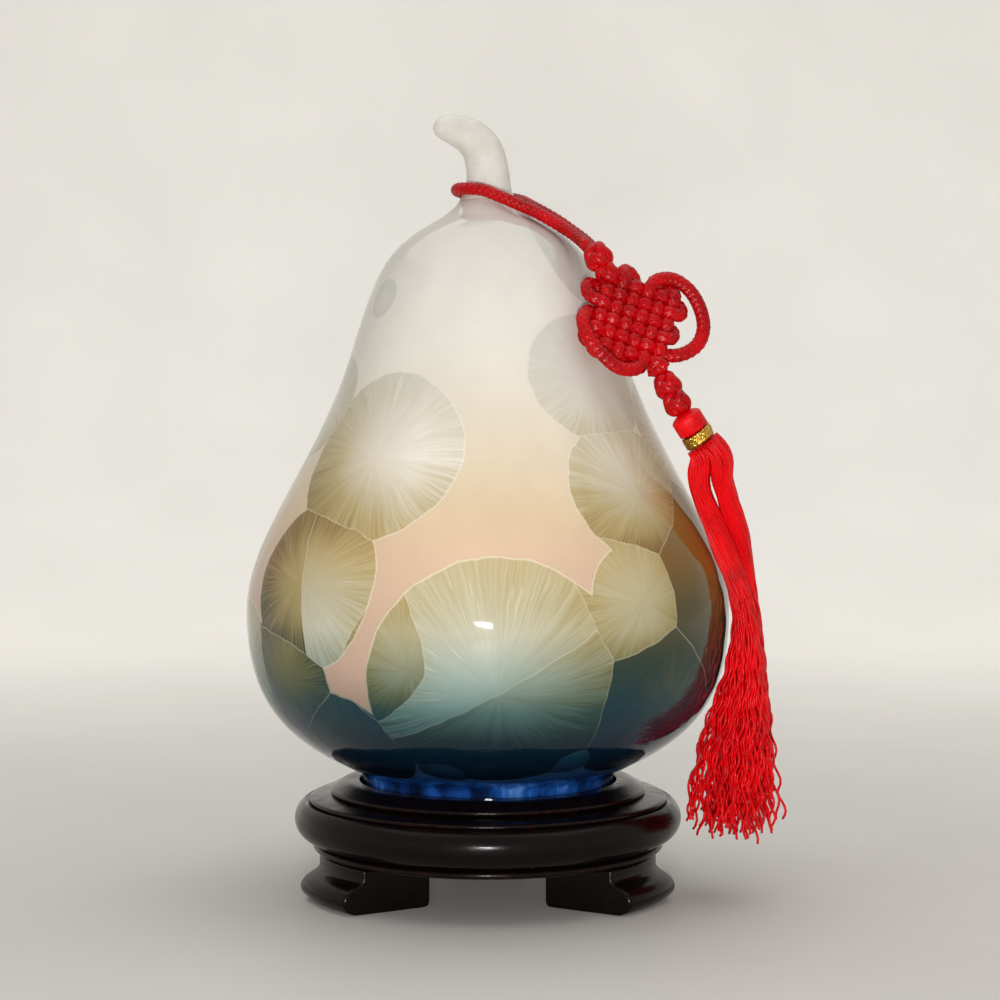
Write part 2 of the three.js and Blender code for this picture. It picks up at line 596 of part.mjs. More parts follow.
// Finishes, each made new for its piece
const lacquer = () => new THREE.MeshStandardMaterial({ color: 0x1c0f0c, roughness: 0.2, metalness: 0 });
const bareWood = () => new THREE.MeshStandardMaterial({ color: 0xb08a5c, roughness: 0.7, metalness: 0 });
const glaze = () => new THREE.MeshStandardMaterial({ color: 0xd8c9a8, roughness: 0.12, metalness: 0 });
const whiteGlaze = () => new THREE.MeshStandardMaterial({ color: 0xe6e3da, roughness: 0.15, metalness: 0 });
const redSilk = () => new THREE.MeshStandardMaterial({ color: 0xc4101c, roughness: 0.5, metalness: 0 });
const goldThread = () => new THREE.MeshStandardMaterial({ color: 0xb8912f, roughness: 0.35, metalness: 0.9 });

function piece(name, geometry, material) {
  const mesh = new THREE.Mesh(geometry, material);
  mesh.name = name;
  return mesh;
}

// Stand
const stand = new THREE.Group();
stand.add(piece('stand_ring', standRing(), lacquer()));
for (const [name, azimuth] of Object.entries(FOOT_AZIMUTHS)) {
  stand.add(piece(name, standFoot(azimuth), lacquer()));
  const dowel = closedSkin(dowelAt(azimuth, DOWEL_RADIUS, DOWEL_LENGTH));
  stand.add(piece(name.replace('stand_foot', 'foot_dowel'), dowel, bareWood()));
}

// Gourd
const gourd = new THREE.Group();
const stem = piece('gourd_stem', gourdStem(), whiteGlaze());
stem.position.z = STEM_SEAT;
gourd.add(piece('gourd_body', gourdBody(), glaze()), stem);

// Knots
const knots = new THREE.Group();
knots.position.copy(besideGourd({ height: KNOT_HEIGHT, azimuth: KNOT_AZIMUTH, standoff: KNOT_STANDOFF }));
knots.rotation.set(radians(KNOT_LEAN), radians(KNOT_TILT), radians(KNOT_TURN), 'ZYX');
const [rows, columns] = knotStrands();
const topKnot = piece('top_knot', ballKnot(), redSilk());
topKnot.position.z = KNOT_REACH;
const doubleKnot = piece('lower_knot', lowerKnot(), redSilk());
doubleKnot.position.z = -KNOT_REACH - BALL_SPACING;
knots.add(piece('knot_strand_rows', rows, redSilk()), piece('knot_strand_columns', columns, redSilk()));
knots.add(topKnot, doubleKnot);
knots.updateMatrixWorld(true);

// Tassel, hung from the middle of the lower ball
const tassel = new THREE.Group();
tassel.position.copy(doubleKnot.getWorldPosition(vector()));
tassel.quaternion.setFromUnitVectors(vector(0, 0, -1), vector(...TASSEL_DIRECTION).normalize());
tassel.add(piece('tassel_cap', tasselCap(), redSilk()), piece('gold_band', goldBand(), goldThread()));
tassel.updateMatrixWorld(true);

// Fringe and hanging cord
const threads = new THREE.Group();
const fringeTop = NECK_BOTTOM - SEAT_GAP;
const fringeHead = FRINGE_HEAD.map(({ below }) => tassel.localToWorld(vector(0, 0, fringeTop - below)));
for (const [name, side] of Object.entries(FRINGE_LOCKS)) {
  threads.add(piece(name, fringeLock(fringeHead, side), redSilk()));
}
const cordCurve = new THREE.CatmullRomCurve3(CORD_ROUTE.map((point) => vector(...point)));
threads.add(piece('hanging_cord', cordAlong(cordCurve, CORD_DIAMETER, CORD_SIDES, CORD_STEPS), redSilk()));

const ornament = new THREE.Group();
ornament.add(stand, gourd, knots, tassel, threads);

export default ornament;
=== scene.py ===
"""A porcelain gourd with a crystalline glaze on a lacquered stand, and a red knotted tassel round its stem.

Sizes are in millimetres and angles in degrees, as in the part's own source. +Z is up and the front is -Y.
"""
import math
import random
from math import radians

import bmesh
import bpy
import numpy as np
from mathutils import Euler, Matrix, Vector


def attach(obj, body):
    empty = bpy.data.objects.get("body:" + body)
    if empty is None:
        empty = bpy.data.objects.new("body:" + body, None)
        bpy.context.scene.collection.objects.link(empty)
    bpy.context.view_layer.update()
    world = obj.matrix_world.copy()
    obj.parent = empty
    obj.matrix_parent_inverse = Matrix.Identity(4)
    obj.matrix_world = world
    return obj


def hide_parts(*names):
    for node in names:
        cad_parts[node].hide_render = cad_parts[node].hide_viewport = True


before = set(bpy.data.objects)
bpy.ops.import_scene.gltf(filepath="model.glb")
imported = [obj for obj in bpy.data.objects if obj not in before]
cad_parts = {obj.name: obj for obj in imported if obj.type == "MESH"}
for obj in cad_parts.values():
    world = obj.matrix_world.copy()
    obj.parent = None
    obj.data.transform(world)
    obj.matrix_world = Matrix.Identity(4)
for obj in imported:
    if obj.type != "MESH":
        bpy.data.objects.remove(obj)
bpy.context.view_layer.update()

MM = 0.001
SEED = 7
chance = random.Random(SEED)

# Camera and light
CAMERA_PLACE = (3.3, -550, 117)
CAMERA_PITCH = 1.04
LENS = 72
SENSOR = 36
CLIP_START = 10
LAMPS = {
    "flash": {"place": (-6, -556, 58), "aim": (0, 0, 110), "size": (64, 30), "spread": 100, "power": 0.55},
    "soft_top": {
        "place": (0, 60, 900), "aim": (0, 0, 100), "size": (1500, 1200), "spread": 180, "power": 5.2,
    },
}
WORLD_STRENGTH = 0.26
BACKGROUND_STRENGTH = 0.75 # of the world where it is seen
FLOOR_HALF = 4000
FLOOR_BACK = 700
SWEEP_RADIUS = 500
SWEEP_STEPS = 18
FLOOR_LIFT = (60, 900, 0.03, 0.55) # near and far from the object, and the glow there

# Facets
OUTLINE_STEPS = 40
ROUTE_STEPS = 12
AXIS_RADIUS = 0.02 # of the small rings that close a turned shape on its axis
MERGE_DISTANCE = 0.0001
INSIDE_STRIDE = 4 # points of the gourd's outline to one of its inside
FOOT_JOIN = 2 # the point of the gourd's outline where the foot ring runs into it
SIDES = {"gourd": 192, "ring": 160, "stem": 64, "ball": 14, "ball_core": 20, "band": 6}

# Stand ring
SEAT_GAP = 0.3
RING_UNDERSIDE = 12
RING_RIM_HEIGHT = 30.6
RECESS_DEPTH = 6.1
RECESS_SIDE_GAP = 0.8
RING_RADIUS = 47.5
TORUS = {"height": 20.4, "reach": 5.5, "rise": 5.6, "from": -80, "to": 58}
LOWER_BEAD = {"radius": RING_RADIUS - 0.5, "height": 13, "size": 1}
MIDDLE_BEAD = {"radius": RING_RADIUS + 0.7, "height": 25.4, "size": 0.8}
UPPER_BEAD = {"radius": RING_RADIUS - 4.9, "height": 27.9, "size": 0.75}
RIM_LIP_WIDTH = 1.2
RECESS_EDGE = 0.4
RUBBED_WIDTH = 0.5 # over which the wear of a bead's edge fades
RING_CREASE = 40

# Stand feet
FOOT_AZIMUTHS = {"stand_foot_right": -30, "stand_foot_back": 90, "stand_foot_left": 210}
FOOT_WIDTH = 27
FOOT_INNER_RADIUS = RING_RADIUS - 19
FOOT_BASE_RADIUS = RING_RADIUS + 1
FOOT_BULGE_RADIUS = RING_RADIUS + 6.1
FOOT_WAIST_RADIUS = RING_RADIUS - 0.7
FOOT_WAIST_HEIGHT = 9.4
FOOT_SHOULDER_HEIGHT = 6.6
FOOT_BULGE_CURVE = {"toe": 1, "lift": 1, "shoulder": 4.6}
FOOT_HOLLOW_CURVE = {"out": 1.6, "lift": 1.2, "waist": 1.4}
FOOT_HEEL_ROUND = 3
FOOT_COLUMNS = 25
FOOT_BEVEL = {"width": 0.7, "segments": 3, "angle": 50}

# Gourd
WALL = 4
VENT_RADIUS = 3
FOOT_RING_RADIUS = 34.5
FOOT_RING_WIDTH = 6
FOOT_RING_HEIGHT = 8.7
FOOT_RING_FLARE = 1.5
FOOT_RING_EDGE = 1.2
FOOT_RING_LAND = 1.4 # from the edge of the foot ring, where its flat underside ends
FOOT_RING_INSIDE = {"hollow": 3, "lean": 0.6, "drop": 2, "bend": 0.8, "toe": 1, "land": 2}
FOOT_RING_NECK = {"below": 2.6, "up": 2.2, "out": 1, "down": 1.2}
BARE_EDGE = 0.6 # from the edge of the foot ring, where the glaze ends
BASE_HOLLOW_DEPTH = 4
BELLY_RADIUS = 66
BELLY_HEIGHT = 52.2
NECK_RADIUS = 38
NECK_HEIGHT = 120.7
CROWN_RADIUS = 9
CROWN_HEIGHT = 161.2
UNDERSIDE_CURVE = {"out": 0.6, "up": 0.19, "belly": 0.4}
FLANK_CURVE = {"belly": 0.29, "neck": 0.44, "slope": 9.9}
SHOULDER_CURVE = {"neck": 0.64, "slope": 8.1, "crown": 0.23, "spread": 19.8}
STEM_ROUTE = [
    (0, 0), (0, 4), (0.1, 8.6), (-0.4, 12.7), (-1.6, 16.6), (-4, 19.5), (-7.7, 21.6), (-11.4, 22.6),
    (-15, 23),
]
STEM_STEP = 0.45
STEM_RADIUS = 6
STEM_TIP_RADIUS = 2.6
STEM_FLARE_RADIUS = 8.8
STEM_FLARE_LENGTH = 4.6
STEM_TIP_ROUND = 0.08
STEM_TIP_CLOSE = 0.96
STEM_FILLET_RADIUS = 13.5 # where the crown starts to rise to the stem
STEM_FILLET_HEIGHT = 2.4 # above the seat, where it has become the stem
STEM_FILLET_CURVE = {"crown": 2.4, "out": 0.6, "down": 1.4}

# Hanging cord
CORD_DIAMETER = 3.2
CORD_FACING = (0.3, -0.6, 0.8)
CORD_TAIL = 0.9 # how far back in a leg of the cord its run into the top knot starts
CORD_ROUTE = [
    (28.6, -19.4, 173), (26.9, -15.8, 175.6), (24.6, -13, 177.9), (22.1, -11, 180), (19.5, -9.4, 182.1),
    (16.8, -8.2, 183.9), (14.1, -6.8, 185.6), (11.9, -4.2, 187.1), (10.2, -0.6, 188.5), (8.5, 4.2, 189.8),
    (4.6, 7.6, 190.9), (-0.6, 8.7, 191.5), (-5.4, 6.6, 191.9), (-8.4, 1.2, 192), (-7.6, -4.2, 191.8),
    (-4.6, -7.4, 191.4), (-1.4, -8.8, 190.9), (1.6, -9.6, 189.7), (4.6, -10.2, 188.4), (8.6, -10.6, 186.6),
    (12.6, -11.3, 184.8), (16.6, -12.4, 182.5), (20.2, -13.9, 180.1), (23, -16.2, 177.9), (24.8, -19, 176.1),
    (26.1, -21.9, 174.4),
]

# Endless knot: a strand makes four runs, a loop round a corner, and two runs the other way
KNOT_AZIMUTH = -34
KNOT_HEIGHT = 154.4
KNOT_STANDOFF = 10.6
KNOT_TILT = -25
KNOT_TURN = 19
KNOT_LEAN = -14
RUNS = 6
RUNS_BEFORE_CORNER = 4
RUN_SPACING = 3.56
STRAND_WIDTH = 3.6
STRAND_THICKNESS = 2.7
WEAVE_HEIGHT = 1.3
LEAD_LENGTH = 2.8
LEAD_SIDE = 1.2
SAMPLES_PER_CELL = 4
SAMPLES_PER_EAR = 10
EAR_LEAD = 0.6
# Each ear: how far it reaches out, half its fullness, how far it leans along the edge
ROW_EARS = [(3, 1.6, 0.4), (5.1, 2.4, -1.2), (2.6, 1.4, 0), (2.3, 1.3, 0)]
COLUMN_EARS = [(2.3, 1.3, 0), (3.6, 2, -1.4), (2.3, 1.3, 0), (2.3, 1.3, 0)]
# Each corner loop: along the strand's first runs, across them, and forward
ROW_CORNER = [
    (-11.9, 1.9, 0.8), (-13.2, 5.2, 2.8), (-10.5, 9.9, 3.9), (-5.5, 13.2, 4), (-1, 14.6, 3.2),
    (2.8, 13.6, 2.2), (5.2, 11.4, 1.4),
]
COLUMN_CORNER = [
    (-12.2, 2.8, 1.2), (-14.4, 6.8, 1), (-13.5, 11.9, 0.6), (-9.9, 16.3, 0.2), (-4.8, 18.9, 0),
    (-0.1, 18.6, -0.2), (3.7, 15.6, -0.6), (5.3, 12, -1.1),
]

# Braid of the cord
BRAID_STRANDS = 6
BRAID_RELIEF = 0.4
BRAID_STEP = 0.3
BRAID_SIDES = 36
BRAID_ROUND = 0.7 # how full a strand is across its width
BRAID_DIP = 0.45 # how far a strand sinks where it passes under
BRAID_MEAN = 0.6 # of the relief

# Round knots, tassel head and fringe
BALL_RADIUS = 3.6
BALL_SPACING = 5
BALL_CORD = 2.5
BALL_WEAVE = 0.42
BALL_LATITUDE = 62
BALL_TURNS = 3
BALL_LOBES = 4
BALL_SAMPLES = 220
BALL_FLATNESS = 1.15 # width of the wound cord to its thickness
BALL_CORE = {"to": 1.5, "rings": 13} # latitude of its end rings, in radians
BALL_FULLNESS = {"top": 4.2, "lower": 4} # radius of the wound cord
COLLAR_RADIUS = {1: 3.7, -1: 2.7} # of the turns round the two ends of the cord, above and below the lattice
TASSEL_DIRECTION = (0.54, 0.12, -0.83)
CAP_RADIUS = 4.1
CAP_LENGTH = 5
CAP_CROWN = 1.1
CAP_RISE = 1 # of the silk in the middle, towards the round knot
CAP_HEM = 0.35
CAP_CURVE = {"tip": 0.05, "dome": 0.45, "dome_rise": 0.6, "shoulder": 0.8, "crown": 0.4, "hem": 0.9}
CAP_RIDGE = 0.022 # of the threads, as a share of the radius
CAP_WAVE = {"height": 0.012, "count": 4}
CAP_SIDES = 144
CAP_THREADS = 36
NECK_WRAP_RADIUS = 2.8
BAND_LENGTH = 3.2
BAND_LAYERS = 2
BAND_WINDS = 4
BAND_SLANT = 0.15 # how far one side of the winding sits below the other
BAND_CRINKLE = 0.2
BAND_THREAD = {"width": 1.25, "thickness": 0.6}
BAND_LAYER = 0.4
BAND_SAMPLES = 60 # in a turn
FRINGE_LOCKS = {"fringe_lock_front": 1, "fringe_lock_back": -1}
# Stops of the fringe under the neck (how far below it), then beside the gourd (height, azimuth, standoff).
# Then each has its slant, the offset of a lock from the middle, half a lock's width and half its depth.
FRINGE_HEAD = [(0, 80, 1.6, 2.5, 3.6), (4, 80, 2.7, 3.1, 4.7)]
FRINGE_ROUTE = [
    ((112.5, -22, 10.4), 76, 3.2, 2.5, 4),
    ((100, -17.5, 6.8), 52, 2.8, 2.7, 3.3),
    ((88, -14, 4.8), 12, 3.3, 2.9, 2.6),
    ((76, -12.4, 5), 0, 3.7, 3.3, 3),
    ((62, -11.4, 4.8), 0, 4.5, 4.1, 5),
    ((46, -11, 3), 0, 5.4, 4.9, 8.4),
    ((30, -10.8, 1.4), 0, 6.2, 5.6, 9.6),
    ((17, -10.8, 0.8), 0, 6.4, 5.8, 8.8),
]
THREADS_PER_LOCK = 115
THREAD_DIAMETER = 0.72
THREAD_STEP = 1.5
THREAD_SIDES = 5
THREAD_CRIMP = 1.15
THREAD_SWAY = 4.5
STRAY_SHARE = 0.08 # of the threads, that curl outwards
STRAY_CURL = 10
FRINGE_SMOOTHING = 7
FRINGE_LOOSE = 0.3 # share of the length from which the threads part
THREAD_FACING = (0.6, -0.8, 0.1)
THREAD_WAVES = (8, 14)
THREAD_CUT = 0.88
CRIMP_AT_NECK = 0.08
CRIMP_DEPTH = 0.8

# Sizes that follow
RECESS_FLOOR = RING_RIM_HEIGHT - RECESS_DEPTH
RECESS_RADIUS = FOOT_RING_RADIUS + RECESS_SIDE_GAP
GOURD_BOTTOM = RECESS_FLOOR + SEAT_GAP
BELLY_TOP = GOURD_BOTTOM + BELLY_HEIGHT
FOOT_TOP = RING_UNDERSIDE - SEAT_GAP
STEM_SEAT = GOURD_BOTTOM + CROWN_HEIGHT + SEAT_GAP
LATTICE_HALF = (RUNS - 1) * RUN_SPACING / 2
KNOT_CORNER = LATTICE_HALF * math.sqrt(2)
KNOT_REACH = KNOT_CORNER + LEAD_LENGTH + SEAT_GAP + BALL_RADIUS
CAP_TOP = -(BALL_RADIUS + SEAT_GAP)
BAND_TOP = CAP_TOP - CAP_LENGTH - SEAT_GAP
NECK_BOTTOM = BAND_TOP - BAND_LENGTH - SEAT_GAP

# Crystals of the glaze: azimuth from the front (right is positive), height, head start over the others, reach
# on bare ground (less than 0 for a fan that starts inside a larger crystal), tone, and the way of its painted
# sheen: the crystal is painted paler on that side of its heart and darker on the other
CRYSTALS = [
    (-35, 118.5, 24.5, 24.5, -0.14, (0.5, 0, 0.05)),
    (-45.4, 87, 22.6, 22.6, -0.25, (0.3, 0, -0.6)),
    (-54, 61.5, 18, 18, -0.75, (0.2, 0, 0.1)),
    (-39.6, 44.6, 18, 18, -0.8, (0, 0, 0.1)),
    (2.5, 60.9, 33.5, 33.5, 0.05, (-0.15, 0, 0.1)),
    (41.3, 138.7, 18.5, 18.5, 0.1, (-0.2, 0, 0.1)),
    (45, 109, 21.5, 21.5, -0.4, (-0.25, 0, 0.35)),
    (36.5, 82.5, 20, 15.5, -0.36, (-0.2, 0, 0.1)),
    (68, 84, 33, 33, -1.2, (-0.1, 0, 0)),
    (47, 56, 27, 27, -1.05, (0, 0, -0.05)),
    (24, 42.5, 8, 8, 0.2, (0, 0, 0)),
    (75, 172, 20.4, 20.4, -0.1, (0, 0, 0)),
    (-57, 161, 6, 6, 0.25, (0, 0, 0)),
    (82, 122, 19, 19, 0, (0, 0.3, 0)),
    (100, 94, 23, 23, 0.05, (0, 0, 0.3)),
    (118, 62, 26, 26, -0.05, (0, 0, 0.3)),
    (138, 120, 21, 21, 0.05, (0.3, 0, 0)),
    (152, 80, 27, 27, 0, (0, 0, 0.35)),
    (174, 112, 13, 13, 0.1, (0, 0, -0.2)),
    (186, 58, 30, 30, 0, (0, 0, 0.35)),
    (200, 136, 17, 17, 0, (0.2, 0, 0.2)),
    (214, 94, 22, 22, 0.05, (0.3, 0, 0)),
    (238, 64, 26, 26, -0.05, (0, 0, 0.3)),
    (246, 124, 19, 19, 0.05, (0, 0, 0.3)),
    (268, 94, 19, 19, -0.1, (0, 0, 0.2)),
    (284, 132, 15, 15, 0, (0, 0.2, 0)),
    (284, 62, 20, 20, -0.1, (0, 0, 0.2)),
    (132, 160, 10, 10, 0, (0, 0, 0)),
    (226, 163, 8, 8, 0, (0, 0, 0)),
    (-12, 40, 8, 8, -0.1, (0, 0, 0)),
    (70, 43, 13, 13, -0.1, (0, 0, 0)),
    (96, 40, 9, 9, -0.1, (0, 0, 0)),
    (160, 40, 11, 11, -0.1, (0, 0, 0)),
    (212, 42, 11, 11, -0.1, (0, 0, 0)),
    (262, 41, 12, 12, -0.1, (0, 0, 0)),
    (-17.1, 66.5, 18.8, -1, -0.45, (-0.1, 0, 0.25)),
    (-47.4, 86.6, 22.6, -1, -0.75, (0.1, 0, 0)),
    (2.83, 60.3, 33.5, -1, -0.24, (0, 0, 0.3)),
]
NEAREST_CRYSTALS = 5 # of them all, those that each face of the gourd is shaded from


def bezier(start, first, second, end, steps):
    """Points of a cubic curve, without its start."""
    a, b, c, d = (np.array(p, float) for p in (start, first, second, end))
    shares = np.linspace(0, 1, steps + 1)[1:, None]
    rest = 1 - shares
    return [*(a * rest**3 + 3 * b * shares * rest**2 + 3 * c * shares**2 * rest + d * shares**3)]


def arc(centre, reach, rise, start, end, steps):
    """Points of an ellipse's arc."""
    angles = np.radians(np.linspace(start, end, steps + 1))
    return [np.array((centre[0] + reach * math.cos(a), centre[1] + rise * math.sin(a))) for a in angles]


def smooth_route(points, step):
    """Points about a step apart on a centripetal Catmull-Rom curve, with the unit ways along it."""
    p = np.array(points, float)
    p = np.vstack([2 * p[0] - p[1], p, 2 * p[-1] - p[-2]])
    fine = []
    for i in range(1, len(p) - 2):
        near = p[i - 1:i + 3]
        knots = np.cumsum([0, *np.sqrt(np.linalg.norm(np.diff(near, axis=0), axis=1))])
        t = np.linspace(knots[1], knots[2], ROUTE_STEPS, endpoint=False)[:, None]
        a, b, c = (between(t, knots[k], knots[k + 1], near[k], near[k + 1]) for k in range(3))
        first, second = between(t, knots[0], knots[2], a, b), between(t, knots[1], knots[3], b, c)
        fine.extend(between(t, knots[1], knots[2], first, second))
    fine.append(p[-2])
    return spaced(np.array(fine), step)


def between(at, low, high, first, second):
    """Values on the straight line from first, at low, to second, at high."""
    return ((high - at) * first + (at - low) * second) / (high - low)


def lengths_along(line):
    """How far along a line each of its points is."""
    return np.concatenate([[0], np.cumsum(np.linalg.norm(np.diff(line, axis=0), axis=1))])


def unit(ways):
    return ways / np.linalg.norm(ways, axis=-1, keepdims=True)


def spaced(line, step):
    """A line again with points about a step apart, and the unit ways along it."""
    along = lengths_along(line)
    at = np.linspace(0, along[-1], max(2, round(along[-1] / step) + 1))
    points = np.stack([np.interp(at, along, line[:, k]) for k in range(3)], axis=1)
    return points, unit(np.gradient(points, axis=0))


def square_frames(ways, facing):
    """Two unit vectors square to each way. The first faces as its row says, or one start is carried on."""
    carried = np.ndim(facing) == 1
    wanted = np.array(facing, float) if carried else None
    sides = []
    for i, way in enumerate(ways):
        wanted = wanted if carried else facing[i]
        side = unit(wanted - way * np.dot(wanted, way))
        sides.append(side)
        wanted = side
    sides = np.array(sides)
    return sides, np.cross(ways, sides)


def circle(count):
    """Angles once round, without the last."""
    return np.linspace(0, 2 * math.pi, count, endpoint=False)


class Skin:
    """The points and faces of one piece, gathered a patch at a time."""

    def __init__(self, rings=None, closed=False):
        self.points = []
        self.faces = []
        if rings is not None:
            self.add(rings, closed)

    def add(self, rings, closed=False):
        """A tube of rings, each an array of points, with both ends filled unless it closes on itself."""
        rings = np.asarray(rings, float)
        rows, count = rings.shape[:2]
        start = len(self.points)
        self.points.extend(map(tuple, rings.reshape(-1, 3)))
        for row in range(rows if closed else rows - 1):
            low, high = start + row * count, start + (row + 1) % rows * count
            for k in range(count):
                step = (k + 1) % count
                self.faces.append((low + k, low + step, high + step, high + k))
        if not closed:
            self.faces.append(tuple(range(start + count - 1, start - 1, -1)))
            self.faces.append(tuple(range(start + (rows - 1) * count, start + rows * count)))

    def piece(self, name, body, slot, replaced):
        mesh = bpy.data.meshes.new(name)
        mesh.from_pydata([tuple(c * MM for c in p) for p in self.points], [], self.faces)
        work = bmesh.new()
        work.from_mesh(mesh)
        bmesh.ops.remove_doubles(work, verts=work.verts, dist=MERGE_DISTANCE * MM)
        bmesh.ops.recalc_face_normals(work, faces=work.faces)
        work.to_mesh(mesh)
        work.free()
        mesh.shade_smooth()
        mesh.materials.append(MATERIALS[slot])
        obj = bpy.data.objects.new(name, mesh)
        bpy.context.scene.collection.objects.link(obj)
        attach(obj, body)
        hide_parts(replaced)
        return obj


def tube(points, ways, facing, width, thickness, sides):
    """Rings of an oval tube along a line."""
    normals, across = square_frames(ways, facing)
    angles = circle(sides)
    half_width, half_thickness = (
        np.broadcast_to(size, len(points))[:, None, None] / 2 for size in (width, thickness)
    )
    return (
        points[:, None]
        + across[:, None] * np.cos(angles)[None, :, None] * half_width
        + normals[:, None] * np.sin(angles)[None, :, None] * half_thickness
    )


def braided(points, ways, facing, width, thickness):
    """Rings of a cord plaited from strands that pass over and under each other."""
    rings = tube(points, ways, facing, width, thickness, BRAID_SIDES)
    along = lengths_along(points)[:, None]
    turn = np.linspace(0, BRAID_STRANDS, BRAID_SIDES, endpoint=False)[None, :]
    lay = along * BRAID_STRANDS / (math.pi * (width + thickness) / 2)
    left, right = turn + lay, turn - lay
    left_on_top = (np.floor(left) + np.floor(right)) % 2 < 1
    across = np.where(left_on_top, left % 1, right % 1)
    run = np.where(left_on_top, right % 1, left % 1)
    lift = 1 - BRAID_DIP + BRAID_DIP * np.sin(math.pi * run)
    relief = np.sin(math.pi * across) ** BRAID_ROUND * lift
    middle = points[:, None]
    reach = (width + thickness) / 4
    return middle + (rings - middle) * (1 + (relief - BRAID_MEAN) * BRAID_RELIEF / reach)[:, :, None]


def lathe(profile, sides):
    """Rings of a profile of (radius, height) points turned about Z."""
    angles = circle(sides)
    return [[(r * math.cos(a), r * math.sin(a), z) for a in angles] for r, z in profile]


# Camera
camera = bpy.data.objects.new("camera", bpy.data.cameras.new("camera"))
camera.data.lens = LENS
camera.data.sensor_width = SENSOR
camera.data.clip_start = CLIP_START * MM
camera.location = Vector(CAMERA_PLACE) * MM
camera.rotation_euler = (radians(90 - CAMERA_PITCH), 0, 0)
bpy.context.scene.collection.objects.link(camera)
bpy.context.scene.camera = camera


def tint(red, green, blue):
    """A display colour of 0 to 255 as the shader's linear colour."""
    parts = [c / 255 for c in (red, green, blue)]
    return (*(c / 12.92 if c <= 0.04045 else ((c + 0.055) / 1.055) ** 2.4 for c in parts), 1)


class Shade:
    """Adds nodes to a shader tree. An input is a socket to link or a value to set."""

    def __init__(self, tree):
        self.tree = tree

    def put(self, socket, value):
        if isinstance(value, bpy.types.NodeSocket):
            self.tree.links.new(value, socket)
        elif value is not None:
            socket.default_value = value

    def node(self, kind, *values, **settings):
        node = self.tree.nodes.new(kind)
        for key, value in settings.items():
            setattr(node, key, value)
        for socket, value in zip(node.inputs, values):
            self.put(socket, value)
        return node

    def fill(self, node, values):
        for key, value in values.items():
            self.put(node.inputs[key], value)

    def math(self, operation, *values):
        return self.node("ShaderNodeMath", *values, operation=operation).outputs[0]

    def vector(self, operation, *values):
        outputs = self.node("ShaderNodeVectorMath", *values, operation=operation).outputs
        return outputs["Value" if operation in ("LENGTH", "DOT_PRODUCT") else "Vector"]

    def scale(self, vector, factor):
        node = self.node("ShaderNodeVectorMath", vector, operation="SCALE")
        self.put(node.inputs["Scale"], factor)
        return node.outputs["Vector"]

    def mix(self, factor, first, second, kind="RGBA", way="MIX"):
        start = {"FLOAT": 2, "VECTOR": 4, "RGBA": 6}[kind]
        node = self.node("ShaderNodeMix", factor, data_type=kind, blend_type=way)
        self.put(node.inputs[start], first)
        self.put(node.inputs[start + 1], second)
        return node.outputs[{"FLOAT": 0, "VECTOR": 1, "RGBA": 2}[kind]]

    def range(self, value, low, high, to_low=0.0, to_high=1.0):
        return self.node(
            "ShaderNodeMapRange", value, low, high, to_low, to_high, interpolation_type="SMOOTHSTEP"
        ).outputs[0]

    def noise(self, place, scale, detail=2.0, w=None, roughness=0.5):
        node = self.node("ShaderNodeTexNoise", noise_dimensions="3D" if w is None else "4D")
        self.fill(node, {"Vector": place, "Scale": scale, "Detail": detail, "Roughness": roughness})
        if w is not None:
            self.put(node.inputs["W"], w)
        return node.outputs

    def background_ray(self):
        """1 where the background is seen, straight, in a gloss or through glass, and 0 where it lights."""
        path = self.node("ShaderNodeLightPath").outputs
        mirrored = self.math("MAXIMUM", path["Is Glossy Ray"], path["Is Transmission Ray"])
        return self.math("MAXIMUM", path["Is Camera Ray"], mirrored)

    def ramp(self, value, stops):
        """A colour ramp over stops of a position and a display colour."""
        node = self.node("ShaderNodeValToRGB", value)
        elements = node.color_ramp.elements
        while len(elements) < len(stops):
            elements.new(0.5)
        for element, (position, *colour) in zip(elements, stops):
            element.position = position
            element.color = tint(*colour)
        return node.outputs[0]


def new_material(name):
    """A material, its node builder, its main shader and the place on the object in millimetres."""
    material = bpy.data.materials.new(name)
    material.use_nodes = True
    shade = Shade(material.node_tree)
    shader = material.node_tree.nodes["Principled BSDF"]
    where = shade.node("ShaderNodeTexCoord").outputs["Object"]
    return material, shade, shader, shade.scale(where, 1 / MM)


def add_bump(shade, shader, height, distance):
    node = shade.node("ShaderNodeBump")
    shade.fill(node, {"Height": height, "Distance": distance * MM})
    shade.put(shader.inputs["Normal"], node.outputs[0])


def by_height(shade, height, stops):
    """A colour ramp over heights in millimetres."""
    low, high = stops[0][0], stops[-1][0]
    share = shade.node("ShaderNodeMapRange", height, low, high).outputs[0]
    return shade.ramp(share, [((z - low) / (high - low), *colour) for z, *colour in stops])


# Glaze colours by height: the plain ground, and a crystal's heart, outer part, dark side and rim. Below the
# belly they darken towards the foot ring, partly the glaze's own colour and partly painted shade under the
# belly.
# Those of the foot go by its streaks.
GROUND_COLOURS = [
    (24, 16, 40, 84), (36, 22, 52, 92), (44, 38, 56, 70), (56, 150, 128, 112), (66, 190, 160, 142),
    (92, 220, 188, 160), (104, 226, 200, 164), (124, 232, 217, 194), (142, 234, 228, 214),
    (160, 236, 231, 221), (188, 230, 226, 216),
]
HEART_COLOURS = [
    (24, 30, 84, 160), (36, 12, 32, 58),
    (43, 18, 46, 66), (48.5, 52, 86, 92), (56, 96, 128, 126), (64, 150, 170, 162),
    (76, 200, 201, 184), (92, 210, 202, 174), (118, 242, 236, 225),
    (140, 222, 218, 206), (170, 218, 215, 208),
]
OUTER_COLOURS = [
    (24, 10, 30, 70), (36, 6, 14, 24), (43, 6, 24, 38), (48.5, 12, 36, 42), (56, 40, 66, 56),
    (66, 108, 106, 66), (76, 160, 146, 98), (92, 184, 160, 106), (108, 182, 162, 114),
    (120, 196, 180, 140), (140, 204, 198, 180), (170, 206, 203, 195),
]
